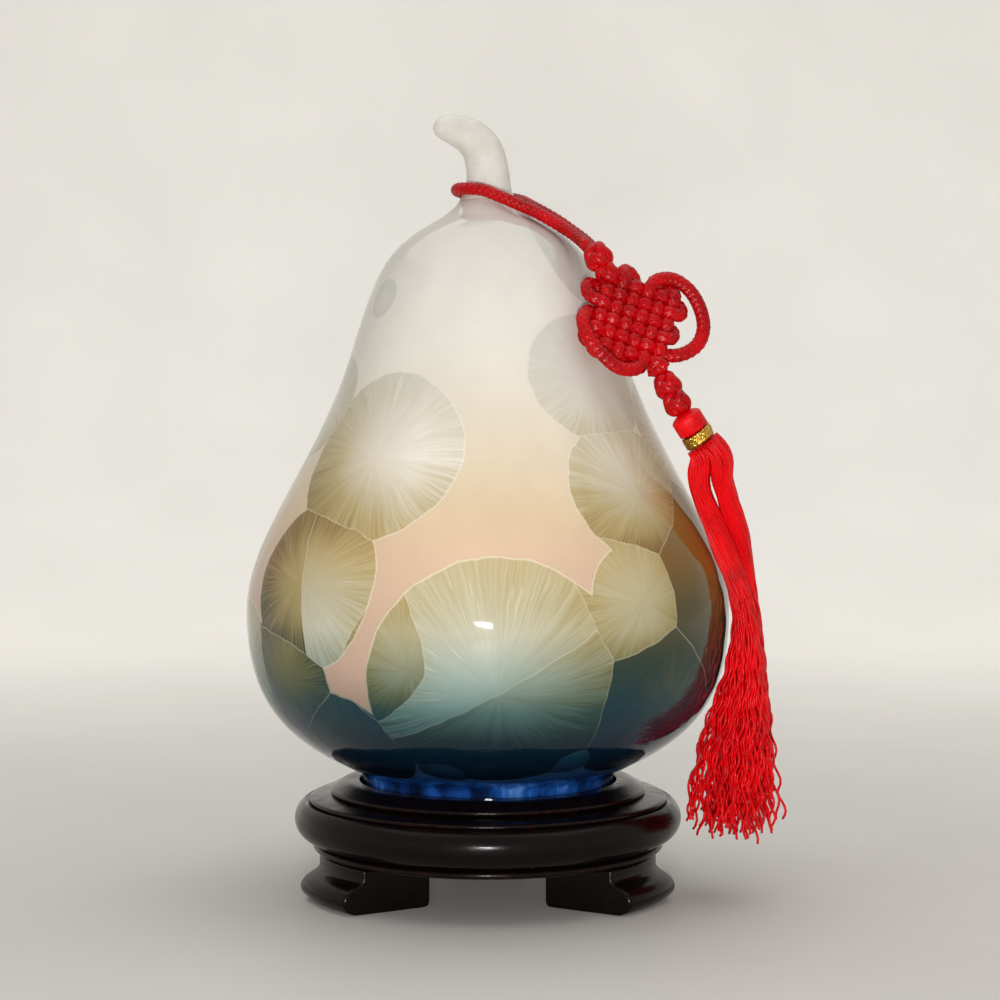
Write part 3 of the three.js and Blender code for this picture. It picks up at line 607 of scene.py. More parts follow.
DARK_COLOURS = [
    (24, 6, 16, 40), (36, 5, 12, 20), (46, 5, 30, 46), (56, 10, 50, 60), (66, 38, 58, 48),
    (82, 88, 74, 32), (92, 126, 90, 30), (108, 146, 120, 66), (124, 168, 148, 104),
    (150, 184, 176, 156), (180, 198, 192, 180),
]
RIM_COLOURS = [
    (24, 40, 70, 110), (44, 36, 54, 58), (58, 150, 152, 138), (70, 216, 208, 186),
    (92, 240, 226, 200), (120, 240, 234, 220), (170, 226, 223, 215),
]
FOOT_COLOURS = [(0.3, 6, 14, 34), (0.46, 14, 44, 96), (0.6, 28, 82, 160), (0.72, 90, 140, 200)]

# The rest of the glaze's look. A range goes from low to high, and what it gives from one value to another.
WANDER = {"scale": 0.13, "reach": 1.8} # of the seams and rims
LEAN_FROM = 14.0 # from a heart, where the painted sheen has its whole effect
FAR = 1000.0
LEAST_PARTING = 0.03 # of the ways from two hearts
RAYS, FIBRES, HAIRS, SLASHES = (5, 40, 1), (22, 18, 1), (64, 9, 1), (24, 10, 0) # how many, length, detail
RAY_STRENGTH = 0.32
PALE_BY_SHARE = (0.1, 1, 0.72, 0.22) # share of the way from the heart to the rim
LINES_BY_SHARE = (0.15, 0.95, 0.08, 0.7)
DARK_BY_PALENESS = (-0.6, 0.05, 1, 0)
SLASH_BY_STREAK = (0.22, 0.28, 0, 1)
SLASH_BY_DISTANCE = (6, 16, 0, 0.6)
SEAM_BY_DISTANCE = (0.05, 0.3, 0.3, 0)
RIM_BY_DISTANCE = (-0.65, -0.3, 0, 0.6)
INSIDE_BY_DISTANCE = (-0.2, 0.05, 1, 0)
FOOT_BY_HEIGHT = (34.6, 37.4, 1, 0)
FOOT_STREAKS = (0.16, 0.16, 0.05)
GLAZE_ROUGHNESS = {"plain": 0.05, "crystal": 0.07}
GLAZE_IOR = 1.54

# Other looks: how fine a grain is each way and its colours, and the share of the slow tone in dyed silk
LACQUER_GRAIN = (0.05, 0.5, 0.9)
SLOW_SHARE = 0.4
WOOD_GRAIN, WOOD_COLOURS = (1.2, 1.2, 0.08), [(0.35, 150, 112, 70), (0.65, 190, 152, 104)]
BISCUIT_GRAIN, BISCUIT_COLOURS = (2.5, 2.5, 2.5), [(0.35, 206, 194, 174), (0.65, 228, 220, 206)]


def outside_radius(height):
    return np.interp(height, [p[1] for p in GOURD_OUTSIDE], [p[0] for p in GOURD_OUTSIDE])


def surface_point(azimuth, height):
    """A point on the outside of the gourd."""
    radius = outside_radius(height)
    return (radius * math.sin(radians(azimuth)), -radius * math.cos(radians(azimuth)), height)


def gourd_outside(steps):
    """The outline from the top of the foot ring to the edge of the crown."""
    belly, neck, crown = (GOURD_BOTTOM + height for height in (BELLY_HEIGHT, NECK_HEIGHT, CROWN_HEIGHT))
    ring_top = GOURD_BOTTOM + FOOT_RING_HEIGHT
    underside = FOOT_RING_RADIUS + FOOT_RING_FLARE
    overhang = BELLY_RADIUS - underside
    rise, climb, cap = belly - ring_top, neck - belly, crown - neck
    points = [np.array((underside, ring_top))]
    points += bezier(
        points[-1],
        (underside + UNDERSIDE_CURVE["out"] * overhang, ring_top + UNDERSIDE_CURVE["up"] * rise),
        (BELLY_RADIUS, ring_top + UNDERSIDE_CURVE["belly"] * rise),
        (BELLY_RADIUS, belly), steps,
    )
    points += bezier(
        points[-1],
        (BELLY_RADIUS, belly + FLANK_CURVE["belly"] * climb),
        (NECK_RADIUS + FLANK_CURVE["slope"], neck - FLANK_CURVE["neck"] * climb),
        (NECK_RADIUS, neck), steps,
    )
    points += bezier(
        points[-1],
        (NECK_RADIUS - SHOULDER_CURVE["slope"], neck + SHOULDER_CURVE["neck"] * cap),
        (CROWN_RADIUS + SHOULDER_CURVE["spread"], crown - SHOULDER_CURVE["crown"] * cap),
        (CROWN_RADIUS, crown), steps,
    )
    return points


GOURD_OUTSIDE = gourd_outside(OUTLINE_STEPS)


def surface_upright(azimuth, height):
    """The unit vector square to the gourd at a point on its outside."""
    low, high = (np.array(surface_point(azimuth, height + step)) for step in (-1, 1))
    beside = np.array((math.cos(radians(azimuth)), math.sin(radians(azimuth)), 0))
    return unit(np.cross(beside, high - low))


def crystal_step():
    """Sets a crystal against those before it: two nearest fronts, the ways from their hearts, the shade
    (its tone with a painted sheen).
    """
    group = bpy.data.node_groups.new("crystal_step", "ShaderNodeTree")
    carried = {"Way": "Vector", "Other way": "Vector"}
    carried |= {name: "Float" for name in ("Front", "Next front", "Edge", "Shade")}
    own = {name: "Vector" for name in ("Place", "Heart", "Upright", "Painted sheen way")}
    own |= {name: "Float" for name in ("Head start", "Edge reach", "Tone")}
    for side, sockets in (("INPUT", own | carried), ("OUTPUT", carried)):
        for name, kind in sockets.items():
            group.interface.new_socket(name, in_out=side, socket_type=f"NodeSocket{kind}")
    shade = Shade(group)
    given = group.nodes.new("NodeGroupInput").outputs
    result = group.nodes.new("NodeGroupOutput").inputs
    away = shade.vector("SUBTRACT", given["Place"], given["Heart"])
    far = shade.vector("LENGTH", away)
    front = shade.math("SUBTRACT", far, given["Head start"])
    first = shade.math("LESS_THAN", front, given["Front"])
    second = shade.math("LESS_THAN", front, given["Next front"])
    rise = shade.vector("DOT_PRODUCT", away, given["Upright"])
    level = shade.vector("SUBTRACT", away, shade.scale(given["Upright"], rise))
    passed = shade.mix(second, given["Other way"], level, "VECTOR")
    shade.put(result["Other way"], shade.mix(first, passed, given["Way"], "VECTOR"))
    shade.put(result["Way"], shade.mix(first, given["Way"], level, "VECTOR"))
    behind = shade.math("MAXIMUM", given["Front"], front)
    shade.put(result["Next front"], shade.math("MINIMUM", given["Next front"], behind))
    shade.put(result["Front"], shade.math("MINIMUM", given["Front"], front))
    edge = shade.math("SUBTRACT", far, given["Edge reach"])
    shade.put(result["Edge"], shade.math("MINIMUM", given["Edge"], edge))
    # Painted sheen: paler on the side of the heart that the painted sheen way points to, darker on the other;
    # turned carries it, and toned adds it to the tone
    painted_sheen_lean = shade.vector("DOT_PRODUCT", away, given["Painted sheen way"])
    turned = shade.math("DIVIDE", painted_sheen_lean, shade.math("MAXIMUM", far, LEAN_FROM))
    toned = shade.math("ADD", turned, given["Tone"])
    shade.put(result["Shade"], shade.mix(first, given["Shade"], toned, "FLOAT"))
    return group


def crystalline_glaze():
    """Fans of fine fibres round listed hearts, each with a pale rim, meeting on thin seams."""
    material, shade, shader, where = new_material("crystalline_glaze")
    height = shade.node("ShaderNodeSeparateXYZ", where).outputs["Z"]
    wander = shade.vector("SUBTRACT", shade.noise(where, WANDER["scale"])["Color"], (0.5, 0.5, 0.5))
    place = shade.vector("ADD", where, shade.scale(wander, WANDER["reach"]))
    step = crystal_step()
    last = {"Front": FAR, "Next front": FAR, "Edge": FAR, "Shade": 0.0}
    for rank in range(NEAREST_CRYSTALS):
        heart, growth, painted_sheen_way, upright = (
            shade.node("ShaderNodeAttribute", attribute_name=f"{kind}_{rank}").outputs["Vector"]
            for kind in ("heart", "growth", "painted_sheen_way", "upright")
        )
        head_start, edge_reach, tone = shade.node("ShaderNodeSeparateXYZ", growth).outputs
        node = shade.node("ShaderNodeGroup", node_tree=step)
        shade.fill(node, {
            "Place": place, "Heart": heart, "Upright": upright, "Painted sheen way": painted_sheen_way, "Head start": head_start,
            "Edge reach": edge_reach, "Tone": tone, **last,
        })
        last = {socket.name: socket for socket in node.outputs}
    far = shade.vector("LENGTH", last["Way"])
    way, other_way = (shade.vector("NORMALIZE", last[name]) for name in ("Way", "Other way"))
    parting = shade.vector("LENGTH", shade.vector("SUBTRACT", way, other_way))
    behind = shade.math("SUBTRACT", last["Next front"], last["Front"])
    seam = shade.math("DIVIDE", behind, shade.math("MAXIMUM", parting, LEAST_PARTING))

    def streaks(scale, length, detail):
        """Noise that changes round the heart and hardly along a fibre, about 0."""
        along = shade.math("MULTIPLY", far, 1 / (scale * length))
        return shade.math("SUBTRACT", shade.noise(way, scale, detail, w=along)[0], 0.5)

    def tinted(stops):
        return by_height(shade, height, stops)

    reach = shade.math("MAXIMUM", shade.math("SUBTRACT", far, last["Front"]), 1.0)
    share = shade.math("DIVIDE", far, reach)
    strength = shade.range(share, *LINES_BY_SHARE)
    lines = shade.math("MULTIPLY", shade.math("ADD", streaks(*FIBRES), streaks(*HAIRS)), strength)
    # Paleness from heart to rim, plus the tone and painted sheen carried in Shade, and the streaks; lit holds
    # it between 0 and 1
    toned = shade.math("ADD", shade.range(share, *PALE_BY_SHARE), last["Shade"])
    pale = shade.math("ADD", toned, shade.math("MULTIPLY_ADD", streaks(*RAYS), RAY_STRENGTH, lines))
    lit = shade.math("MINIMUM", shade.math("MAXIMUM", pale, 0.0), 1.0)
    crystal = shade.mix(lit, tinted(OUTER_COLOURS), tinted(HEART_COLOURS))
    # Where the tone and painted sheen are lowest, the crystal goes to its dark colours
    crystal = shade.mix(shade.range(pale, *DARK_BY_PALENESS), crystal, tinted(DARK_COLOURS))
    slashes = shade.range(streaks(*SLASHES), *SLASH_BY_STREAK)
    slashes = shade.math("MULTIPLY", slashes, shade.range(far, *SLASH_BY_DISTANCE))
    rim_colour = tinted(RIM_COLOURS)
    for line in (
        shade.math("MULTIPLY", slashes, lit),
        shade.range(seam, *SEAM_BY_DISTANCE),
        shade.range(last["Edge"], *RIM_BY_DISTANCE),
    ):
        crystal = shade.mix(line, crystal, rim_colour)
    slow = shade.noise(where, scale=0.05, detail=3)[0]
    mottle = shade.ramp(slow, [(0.3, 246, 246, 246), (0.7, 255, 255, 255)])
    ground = shade.mix(1.0, tinted(GROUND_COLOURS), mottle, way="MULTIPLY")
    inside = shade.range(last["Edge"], *INSIDE_BY_DISTANCE)
    colour = shade.mix(inside, ground, crystal)
    streaked = shade.vector("MULTIPLY", where, FOOT_STREAKS)
    base_streaks = shade.noise(streaked, scale=1, detail=3, roughness=0.55)[0]
    foot = shade.range(shade.math("MULTIPLY_ADD", base_streaks, 2.0, height), *FOOT_BY_HEIGHT)
    colour = shade.mix(foot, colour, shade.ramp(base_streaks, FOOT_COLOURS))
    roughness = shade.mix(inside, GLAZE_ROUGHNESS["plain"], GLAZE_ROUGHNESS["crystal"], "FLOAT")
    shade.fill(shader, {
        "Base Color": colour, "Roughness": roughness, "IOR": GLAZE_IOR, "Specular IOR Level": 0.27,
    })
    add_bump(shade, shader, shade.noise(where, scale=0.1, detail=1)[0], distance=0.35)
    return material


def grained(name, stretch, stops, roughness, bump):
    """A dull surface with one grain for its colour and its bumps."""
    material, shade, shader, where = new_material(name)
    grain = shade.noise(shade.vector("MULTIPLY", where, stretch), scale=1, detail=4)[0]
    shade.fill(shader, {"Base Color": shade.ramp(grain, stops), "Roughness": roughness})
    add_bump(shade, shader, grain, bump)
    return material


def white_glaze():
    """Plain glaze of the stem, with soft patches a little warmer and less glossy."""
    material, shade, shader, where = new_material("white_glaze")
    pooled = shade.noise(where, scale=0.16, detail=3)[0]
    colour = shade.ramp(pooled, [(0.3, 222, 217, 205), (0.55, 234, 230, 221), (0.75, 240, 237, 230)])
    roughness = shade.range(pooled, 0.3, 0.7, 0.1, 0.05)
    shade.fill(shader, {"Base Color": colour, "Roughness": roughness, "IOR": GLAZE_IOR})
    add_bump(shade, shader, shade.noise(where, scale=0.22)[0], distance=0.25)
    return material


def lacquered_wood():
    """Near-black lacquer over red-brown wood, with faint grain and the wood showing on rubbed edges."""
    material, shade, shader, where = new_material("lacquered_wood")
    along = shade.vector("MULTIPLY", where, LACQUER_GRAIN)
    grain = shade.noise(along, scale=1, detail=5, roughness=0.7)[0]
    body = shade.ramp(grain, [(0.3, 8, 4, 4), (0.55, 14, 7, 6), (0.8, 26, 11, 8)])
    rubbed = shade.node("ShaderNodeAttribute", attribute_name="rubbed").outputs["Fac"]
    patches = shade.range(shade.noise(where, scale=0.35, detail=4, roughness=0.7)[0], 0.45, 0.7)
    colour = shade.mix(shade.math("MULTIPLY", rubbed, patches), body, tint(40, 16, 11))
    roughness = shade.range(shade.noise(where, scale=0.2, detail=4)[0], 0.3, 0.75, 0.16, 0.28)
    shade.fill(shader, {
        "Base Color": colour, "Roughness": roughness, "IOR": 1.5, "Specular IOR Level": 0.13,
    })
    add_bump(shade, shader, grain, distance=0.03)
    return material


def red_silk(name, dark, middle, light, fineness, roughness):
    """Dyed silk: fine filaments and a slow change of tone."""
    material, shade, shader, where = new_material(name)
    filaments = shade.noise(where, fineness, detail=3, roughness=0.7)[0]
    slow = shade.noise(where, scale=0.12)[0]
    tone = shade.mix(SLOW_SHARE, filaments, slow, "FLOAT")
    colour = shade.ramp(tone, [(0.35, *dark), (0.5, *middle), (0.68, *light)])
    shade.fill(shader, {"Base Color": colour, "Roughness": roughness, "Specular IOR Level": 0.2})
    add_bump(shade, shader, filaments, distance=0.05)
    return material


def gold_thread():
    """Crinkled metal foil thread."""
    material, shade, shader, where = new_material("gold_thread")
    crinkle = shade.noise(where, scale=2.2, detail=3, roughness=0.7)[0]
    colour = shade.ramp(crinkle, [(0.3, 96, 62, 16), (0.5, 196, 146, 52), (0.68, 250, 222, 130)])
    roughness = shade.range(crinkle, 0.3, 0.7, 0.42, 0.18)
    shade.fill(shader, {"Base Color": colour, "Roughness": roughness, "Metallic": 1.0})
    add_bump(shade, shader, crinkle, distance=0.15)
    return material


def plain_floor():
    """Pale paper that looks lifted away from the object."""
    material, shade, shader, where = new_material("plain_floor")
    grain = shade.noise(where, scale=0.01, detail=3)[0]
    colour = shade.ramp(grain, [(0.3, 226, 223, 217), (0.7, 231, 228, 222)])
    glow = shade.range(shade.vector("LENGTH", where), *FLOOR_LIFT)
    lift = shade.math("MULTIPLY", shade.background_ray(), glow)
    shade.fill(shader, {
        "Base Color": colour, "Roughness": 0.6, "Emission Color": colour, "Emission Strength": lift,
    })
    return material


MATERIALS = {
    "crystalline_glaze": crystalline_glaze(),
    "white_glaze": white_glaze(),
    "lacquered_wood": lacquered_wood(),
    "bare_wood": grained("bare_wood", WOOD_GRAIN, WOOD_COLOURS, roughness=0.7, bump=0.05),
    "red_cord": red_silk("red_cord", (122, 0, 4), (186, 0, 8), (218, 5, 15), fineness=1.6, roughness=0.3),
    "red_thread": red_silk(
        "red_thread", (180, 0, 8), (234, 4, 14), (248, 14, 26), fineness=2.4, roughness=0.34,
    ),
    "gold_thread": gold_thread(),
}
BISCUIT = grained("biscuit", BISCUIT_GRAIN, BISCUIT_COLOURS, roughness=0.75, bump=0.06)

# Hanging cord
cord_line, cord_ways = smooth_route(CORD_ROUTE, BRAID_STEP)
cord_skin = Skin(braided(cord_line, cord_ways, CORD_FACING, CORD_DIAMETER, CORD_DIAMETER))
hanging_cord = cord_skin.piece("hanging_cord_braid", "cord_loop", "red_cord", "hanging_cord")


def knot_matrix():
    """Where the knot hangs beside the gourd, and how it lies."""
    x, y, z = beside_gourd(KNOT_HEIGHT, KNOT_AZIMUTH, KNOT_STANDOFF)
    matrix = Euler((radians(KNOT_LEAN), radians(KNOT_TILT), radians(KNOT_TURN)), "XYZ").to_matrix().to_4x4()
    matrix.translation = (x, y, z)
    return matrix


def beside_gourd(height, azimuth, standoff):
    """A point off the flank, and below the belly off the belly. The azimuth is from +X."""
    radius = outside_radius(max(height, BELLY_TOP)) + standoff
    return np.array((radius * math.cos(radians(azimuth)), radius * math.sin(radians(azimuth)), height))


def moved(matrix, points):
    grid = np.array(matrix, float)
    return np.asarray(points) @ grid[:3, :3].T + grid[:3, 3]


DOWN_RIGHT = np.array((1, 0, -1)) / math.sqrt(2)
DOWN_LEFT = np.array((-1, 0, -1)) / math.sqrt(2)
FORWARD = np.array((0, -1, 0))


def ear_points(start, step, out, reach, full, lean):
    """An ear that turns back from the end of one run into the next, without its ends."""
    end = start + step * RUN_SPACING
    top = (start + end) / 2 + out * reach + step * lean
    lead = out * EAR_LEAD * reach
    half = SAMPLES_PER_EAR // 2
    first = bezier(start, start + lead, top - step * full, top, half)
    return (first + bezier(top, top + step * full, end + lead, end, half))[:-1]


def strand_route(first_way, other_way, ears, corner, face):
    """One strand of the endless knot: runs that weave, ears between them, and a loop round a corner."""
    def place(along, across, forward):
        return first_way * along + other_way * across + FORWARD * forward

    def lead_end(end):
        side = -math.copysign(LEAD_SIDE, first_way[0])
        return np.array((side, end * face * WEAVE_HEIGHT, -end * (KNOT_CORNER + LEAD_LENGTH)))

    def lattice(cell):
        return cell * RUN_SPACING - LATTICE_HALF

    cells = RUNS - 1
    route = [lead_end(-1)]
    for run in range(RUNS):
        turned = run >= RUNS_BEFORE_CORNER
        heading = -1 if (run % 2 == 0) == turned else 1
        over = (-face if turned else face) * WEAVE_HEIGHT
        end_cell = cells if heading > 0 else 0
        for cell in np.linspace(cells - end_cell, end_cell, cells * SAMPLES_PER_CELL + 1):
            along, across = (lattice(run), lattice(cell)) if turned else (lattice(cell), lattice(run))
            route.append(place(along, across, over * math.cos(math.pi * (cell + run))))
        if run == RUNS - 1:
            break
        if run == RUNS_BEFORE_CORNER - 1:
            route.extend(place(*point) for point in corner)
            continue
        step, out = (first_way, other_way) if turned else (other_way, first_way)
        ear = ears[run - 1 if turned else run]
        bow = ear_points(place(along, across, 0), step, out * heading, *ear)
        rise = over * math.cos(math.pi * (end_cell + run))
        for i, point in enumerate(bow, 1):
            route.append(point + FORWARD * rise * math.cos(math.pi * i / SAMPLES_PER_EAR))
    route.append(lead_end(1))
    return route


KNOT = knot_matrix()
for name, first_way, other_way, ears, corner, face in (
    ("rows", DOWN_RIGHT, DOWN_LEFT, ROW_EARS, ROW_CORNER, 1),
    ("columns", DOWN_LEFT, DOWN_RIGHT, COLUMN_EARS, COLUMN_CORNER, -1),
):
    line, ways = smooth_route(strand_route(first_way, other_way, ears, corner, face), BRAID_STEP)
    facing = np.broadcast_to(FORWARD.astype(float), line.shape)
    skin = Skin(moved(KNOT, braided(line, ways, facing, STRAND_WIDTH, STRAND_THICKNESS)))
    skin.piece(f"endless_knot_{name}", "knot", "red_cord", f"knot_strand_{name}")


def ball_rings(skin, matrix, height, radius):
    """A round knot: one cord woven round a ball, over a core."""
    turns = circle(BALL_SAMPLES)
    middle = radius - BALL_CORD / 2 - BALL_WEAVE
    lift = middle + BALL_WEAVE * np.sin(2 * BALL_LOBES * turns)
    latitude = radians(BALL_LATITUDE) * np.sin(BALL_LOBES * turns)
    line = np.stack([
        lift * np.cos(latitude) * np.cos(BALL_TURNS * turns),
        lift * np.cos(latitude) * np.sin(BALL_TURNS * turns),
        lift * np.sin(latitude) + height,
    ], axis=1)
    ways = unit(np.roll(line, -1, axis=0) - np.roll(line, 1, axis=0))
    rings = tube(line, ways, line - (0, 0, height), BALL_CORD * BALL_FLATNESS, BALL_CORD, SIDES["ball"])
    skin.add(moved(matrix, rings), closed=True)
    angles = np.linspace(-BALL_CORE["to"], BALL_CORE["to"], BALL_CORE["rings"])
    core = [(middle * math.cos(a), height + middle * math.sin(a)) for a in angles]
    skin.add(moved(matrix, lathe(core, SIDES["ball_core"])))


top_skin = Skin()
ball_rings(top_skin, KNOT, KNOT_REACH, BALL_FULLNESS["top"])
back = round(CORD_TAIL / BRAID_STEP)
for leg in (cord_line[back], cord_line[-1 - back]):
    line, ways = spaced(np.array([leg, KNOT @ Vector((0, 0, KNOT_REACH))]), BRAID_STEP)
    top_skin.add(braided(line, ways, CORD_FACING, CORD_DIAMETER, CORD_DIAMETER))
top_knot = top_skin.piece("top_knot_wound", "cord_loop", "red_cord", "top_knot")
lower_skin = Skin()
for end, radius in COLLAR_RADIUS.items():
    ball_rings(lower_skin, KNOT, end * (KNOT_CORNER + LEAD_LENGTH / 2), radius)
for drop in (KNOT_REACH, KNOT_REACH + BALL_SPACING):
    ball_rings(lower_skin, KNOT, -drop, BALL_FULLNESS["lower"])
lower_skin.piece("lower_knot_wound", "knot", "red_cord", "lower_knot")

# Tassel head
tassel_turn = Vector((0, 0, -1)).rotation_difference(Vector(TASSEL_DIRECTION).normalized())
TASSEL = tassel_turn.to_matrix().to_4x4()
TASSEL.translation = KNOT @ Vector((0, 0, -KNOT_REACH - BALL_SPACING))


def cap_rings():
    """The head of the tassel: silk laid lengthwise over a rounded core, with a plain neck below."""
    bottom = CAP_TOP - CAP_LENGTH
    share = {key: CAP_RADIUS * CAP_CURVE[key] for key in ("dome", "shoulder", "hem")}
    dome_height = CAP_TOP + CAP_RISE * CAP_CURVE["dome_rise"]
    profile = [(CAP_CURVE["tip"], CAP_TOP + CAP_RISE), (share["dome"], dome_height)]
    profile += bezier(
        profile[-1], (share["shoulder"], CAP_TOP), (CAP_RADIUS, CAP_TOP - CAP_CROWN * CAP_CURVE["crown"]),
        (CAP_RADIUS, CAP_TOP - CAP_CROWN), steps=12,
    )
    profile += bezier(
        (CAP_RADIUS, bottom + CAP_HEM), (CAP_RADIUS, bottom), (share["hem"], bottom),
        (NECK_WRAP_RADIUS, bottom), steps=8,
    )
    profile += [(NECK_WRAP_RADIUS, NECK_BOTTOM), (CAP_CURVE["tip"], NECK_BOTTOM)]
    rings = np.array(lathe(profile, CAP_SIDES))
    turns = circle(CAP_SIDES)
    ridges = 1 + CAP_RIDGE * np.abs(np.sin(CAP_THREADS / 2 * turns))
    ridges += CAP_WAVE["height"] * np.sin(CAP_WAVE["count"] * turns)
    rings[:, :, :2] *= ridges[None, :, None]
    return rings


Skin(moved(TASSEL, cap_rings())).piece("tassel_head", "tassel", "red_thread", "tassel_cap")
band_skin = Skin()
for layer in range(BAND_LAYERS):
    turns = np.linspace(0, 2 * math.pi * BAND_WINDS, BAND_SAMPLES * BAND_WINDS)
    around = turns * (1 if layer % 2 == 0 else -1) + layer
    wobble = np.array([chance.uniform(-BAND_CRINKLE, BAND_CRINKLE) for _ in turns])
    radius = NECK_WRAP_RADIUS + SEAT_GAP + BAND_LAYER + BAND_LAYER * layer + wobble
    room = BAND_LENGTH - BAND_THREAD["width"] + 2 * SEAT_GAP
    height = BAND_TOP - BAND_LENGTH / 2 + room * (0.5 - turns / turns[-1])
    height += BAND_SLANT * np.cos(around) + wobble
    line = np.stack([radius * np.cos(around), radius * np.sin(around), height], axis=1)
    ways = unit(np.gradient(line, axis=0))
    rings = tube(line, ways, line * (1, 1, 0), BAND_THREAD["width"], BAND_THREAD["thickness"], SIDES["band"])
    band_skin.add(moved(TASSEL, rings))
band_skin.piece("gold_band_wound", "tassel", "gold_thread", "gold_band")

# Fringe
fringe_stops = [moved(TASSEL, [(0, 0, NECK_BOTTOM - SEAT_GAP - below)])[0] for below, *_ in FRINGE_HEAD]
fringe_stops += [beside_gourd(*place) for place, *_ in FRINGE_ROUTE]
fringe_line, fringe_ways = smooth_route(fringe_stops, THREAD_STEP)
fringe_out, fringe_across = square_frames(fringe_ways, fringe_line * (1, 1, 0))
stop_at = [int(np.argmin(np.linalg.norm(fringe_line - stop, axis=1))) for stop in fringe_stops]
shares = np.linspace(0, 1, len(fringe_line))


def along_fringe(values):
    """Values at the stops carried along the whole fringe and smoothed."""
    level = np.interp(np.arange(len(fringe_line)), stop_at, values)
    window = np.ones(FRINGE_SMOOTHING) / FRINGE_SMOOTHING
    return np.convolve(np.pad(level, FRINGE_SMOOTHING // 2, mode="edge"), window, mode="valid")


lock_values = zip(*(values for _, *values in FRINGE_HEAD + FRINGE_ROUTE))
slant, offset, half_width, half_depth = map(along_fringe, lock_values)
turn_cos, turn_sin = np.cos(np.radians(slant))[:, None], np.sin(np.radians(slant))[:, None]
sideways = fringe_across * turn_cos - fringe_out * turn_sin
square = fringe_out * turn_cos + fringe_across * turn_sin
loose = np.clip((shares - FRINGE_LOOSE) / (1 - FRINGE_LOOSE), 0, 1)
golden_angle = math.pi * (3 - math.sqrt(5))
for name, side in FRINGE_LOCKS.items():
    skin = Skin()
    for i in range(THREADS_PER_LOCK):
        spot = math.sqrt((i + 0.5) / THREADS_PER_LOCK)
        angle = i * golden_angle
        phase, pace = chance.uniform(0, 2 * math.pi), chance.uniform(*THREAD_WAVES)
        sway = [chance.uniform(-THREAD_SWAY, THREAD_SWAY) for _ in range(2)]
        if chance.random() < STRAY_SHARE:
            sway[1] = chance.uniform(THREAD_SWAY, STRAY_CURL)
        cut = chance.uniform(THREAD_CUT, 1)
        crimp = THREAD_CRIMP * (CRIMP_AT_NECK + loose) * np.sin(shares * pace * 2 * math.pi + phase)
        wide = side * offset + half_width * spot * math.cos(angle) + crimp + sway[0] * loose**2
        deep = half_depth * spot * math.sin(angle) + CRIMP_DEPTH * crimp + sway[1] * loose**2
        line = fringe_line + sideways * wide[:, None] + square * deep[:, None]
        line, ways = spaced(line[: round(cut * len(line))], THREAD_STEP)
        skin.add(tube(line, ways, THREAD_FACING, THREAD_DIAMETER, THREAD_DIAMETER, THREAD_SIDES))
    skin.piece(f"{name}_threads", "tassel", "red_thread", name)


# Gourd
def stem_radius(up):
    """Radius of the straight foot of the stem at a distance above its seat."""
    return STEM_RADIUS + (STEM_FLARE_RADIUS - STEM_RADIUS) * np.exp(-((up / STEM_FLARE_LENGTH) ** 2))


def gourd_profile():
    """The closed outline of the shell: base hollow, foot ring, outside, and inside."""
    inner, curve, neck = FOOT_RING_RADIUS - FOOT_RING_WIDTH, FOOT_RING_INSIDE, FOOT_RING_NECK
    hollow_top = GOURD_BOTTOM + BASE_HOLLOW_DEPTH
    floor = hollow_top + WALL
    bottom = [np.array(p, float) for p in (
        (VENT_RADIUS, floor), (VENT_RADIUS, hollow_top), (inner - curve["hollow"], hollow_top),
    )]
    bottom += bezier(
        bottom[-1], (inner, hollow_top), (inner, hollow_top),
        (inner + curve["lean"], hollow_top - curve["drop"]), steps=6,
    )
    bottom += bezier(
        bottom[-1], (inner + curve["bend"], GOURD_BOTTOM), (inner + curve["toe"], GOURD_BOTTOM),
        (inner + curve["land"], GOURD_BOTTOM), steps=5,
    )
    bottom.append(np.array((FOOT_RING_RADIUS - FOOT_RING_LAND, GOURD_BOTTOM)))
    edge = FOOT_RING_EDGE
    bottom += arc((FOOT_RING_RADIUS - edge, GOURD_BOTTOM + edge), edge, edge, -80, 0, steps=6)
    side_top = GOURD_BOTTOM + FOOT_RING_HEIGHT - neck["below"]
    bottom.append(np.array((FOOT_RING_RADIUS, side_top)))
    first = GOURD_OUTSIDE[FOOT_JOIN]
    bottom += bezier(
        bottom[-1], (FOOT_RING_RADIUS, side_top + neck["up"]),
        (FOOT_RING_RADIUS + neck["out"], first[1] - neck["down"]), first, steps=8,
    )
    outside = [p for p in GOURD_OUTSIDE[FOOT_JOIN + 1:] if p[0] > STEM_FILLET_RADIUS or p[1] < BELLY_TOP]
    slope, fillet = unit(outside[-1] - outside[-2]), STEM_FILLET_CURVE
    stem_foot = np.array((stem_radius(STEM_FILLET_HEIGHT), STEM_SEAT + STEM_FILLET_HEIGHT))
    outside += bezier(
        outside[-1], outside[-1] + slope * fillet["crown"], stem_foot + (fillet["out"], -fillet["down"]),
        stem_foot, steps=12,
    )
    inside = []
    for i in range(INSIDE_STRIDE, len(GOURD_OUTSIDE) - 1, INSIDE_STRIDE):
        way = unit(GOURD_OUTSIDE[i + 1] - GOURD_OUTSIDE[i - 1])
        point = GOURD_OUTSIDE[i] + WALL * np.array((-way[1], way[0]))
        if point[1] > floor + WALL:
            inside.append(point)
    crown = GOURD_BOTTOM + CROWN_HEIGHT
    closing = [(AXIS_RADIUS, stem_foot[1]), (AXIS_RADIUS, crown - WALL)]
    return [*bottom, *outside, *closing, *reversed(inside), (FOOT_RING_RADIUS, floor)]


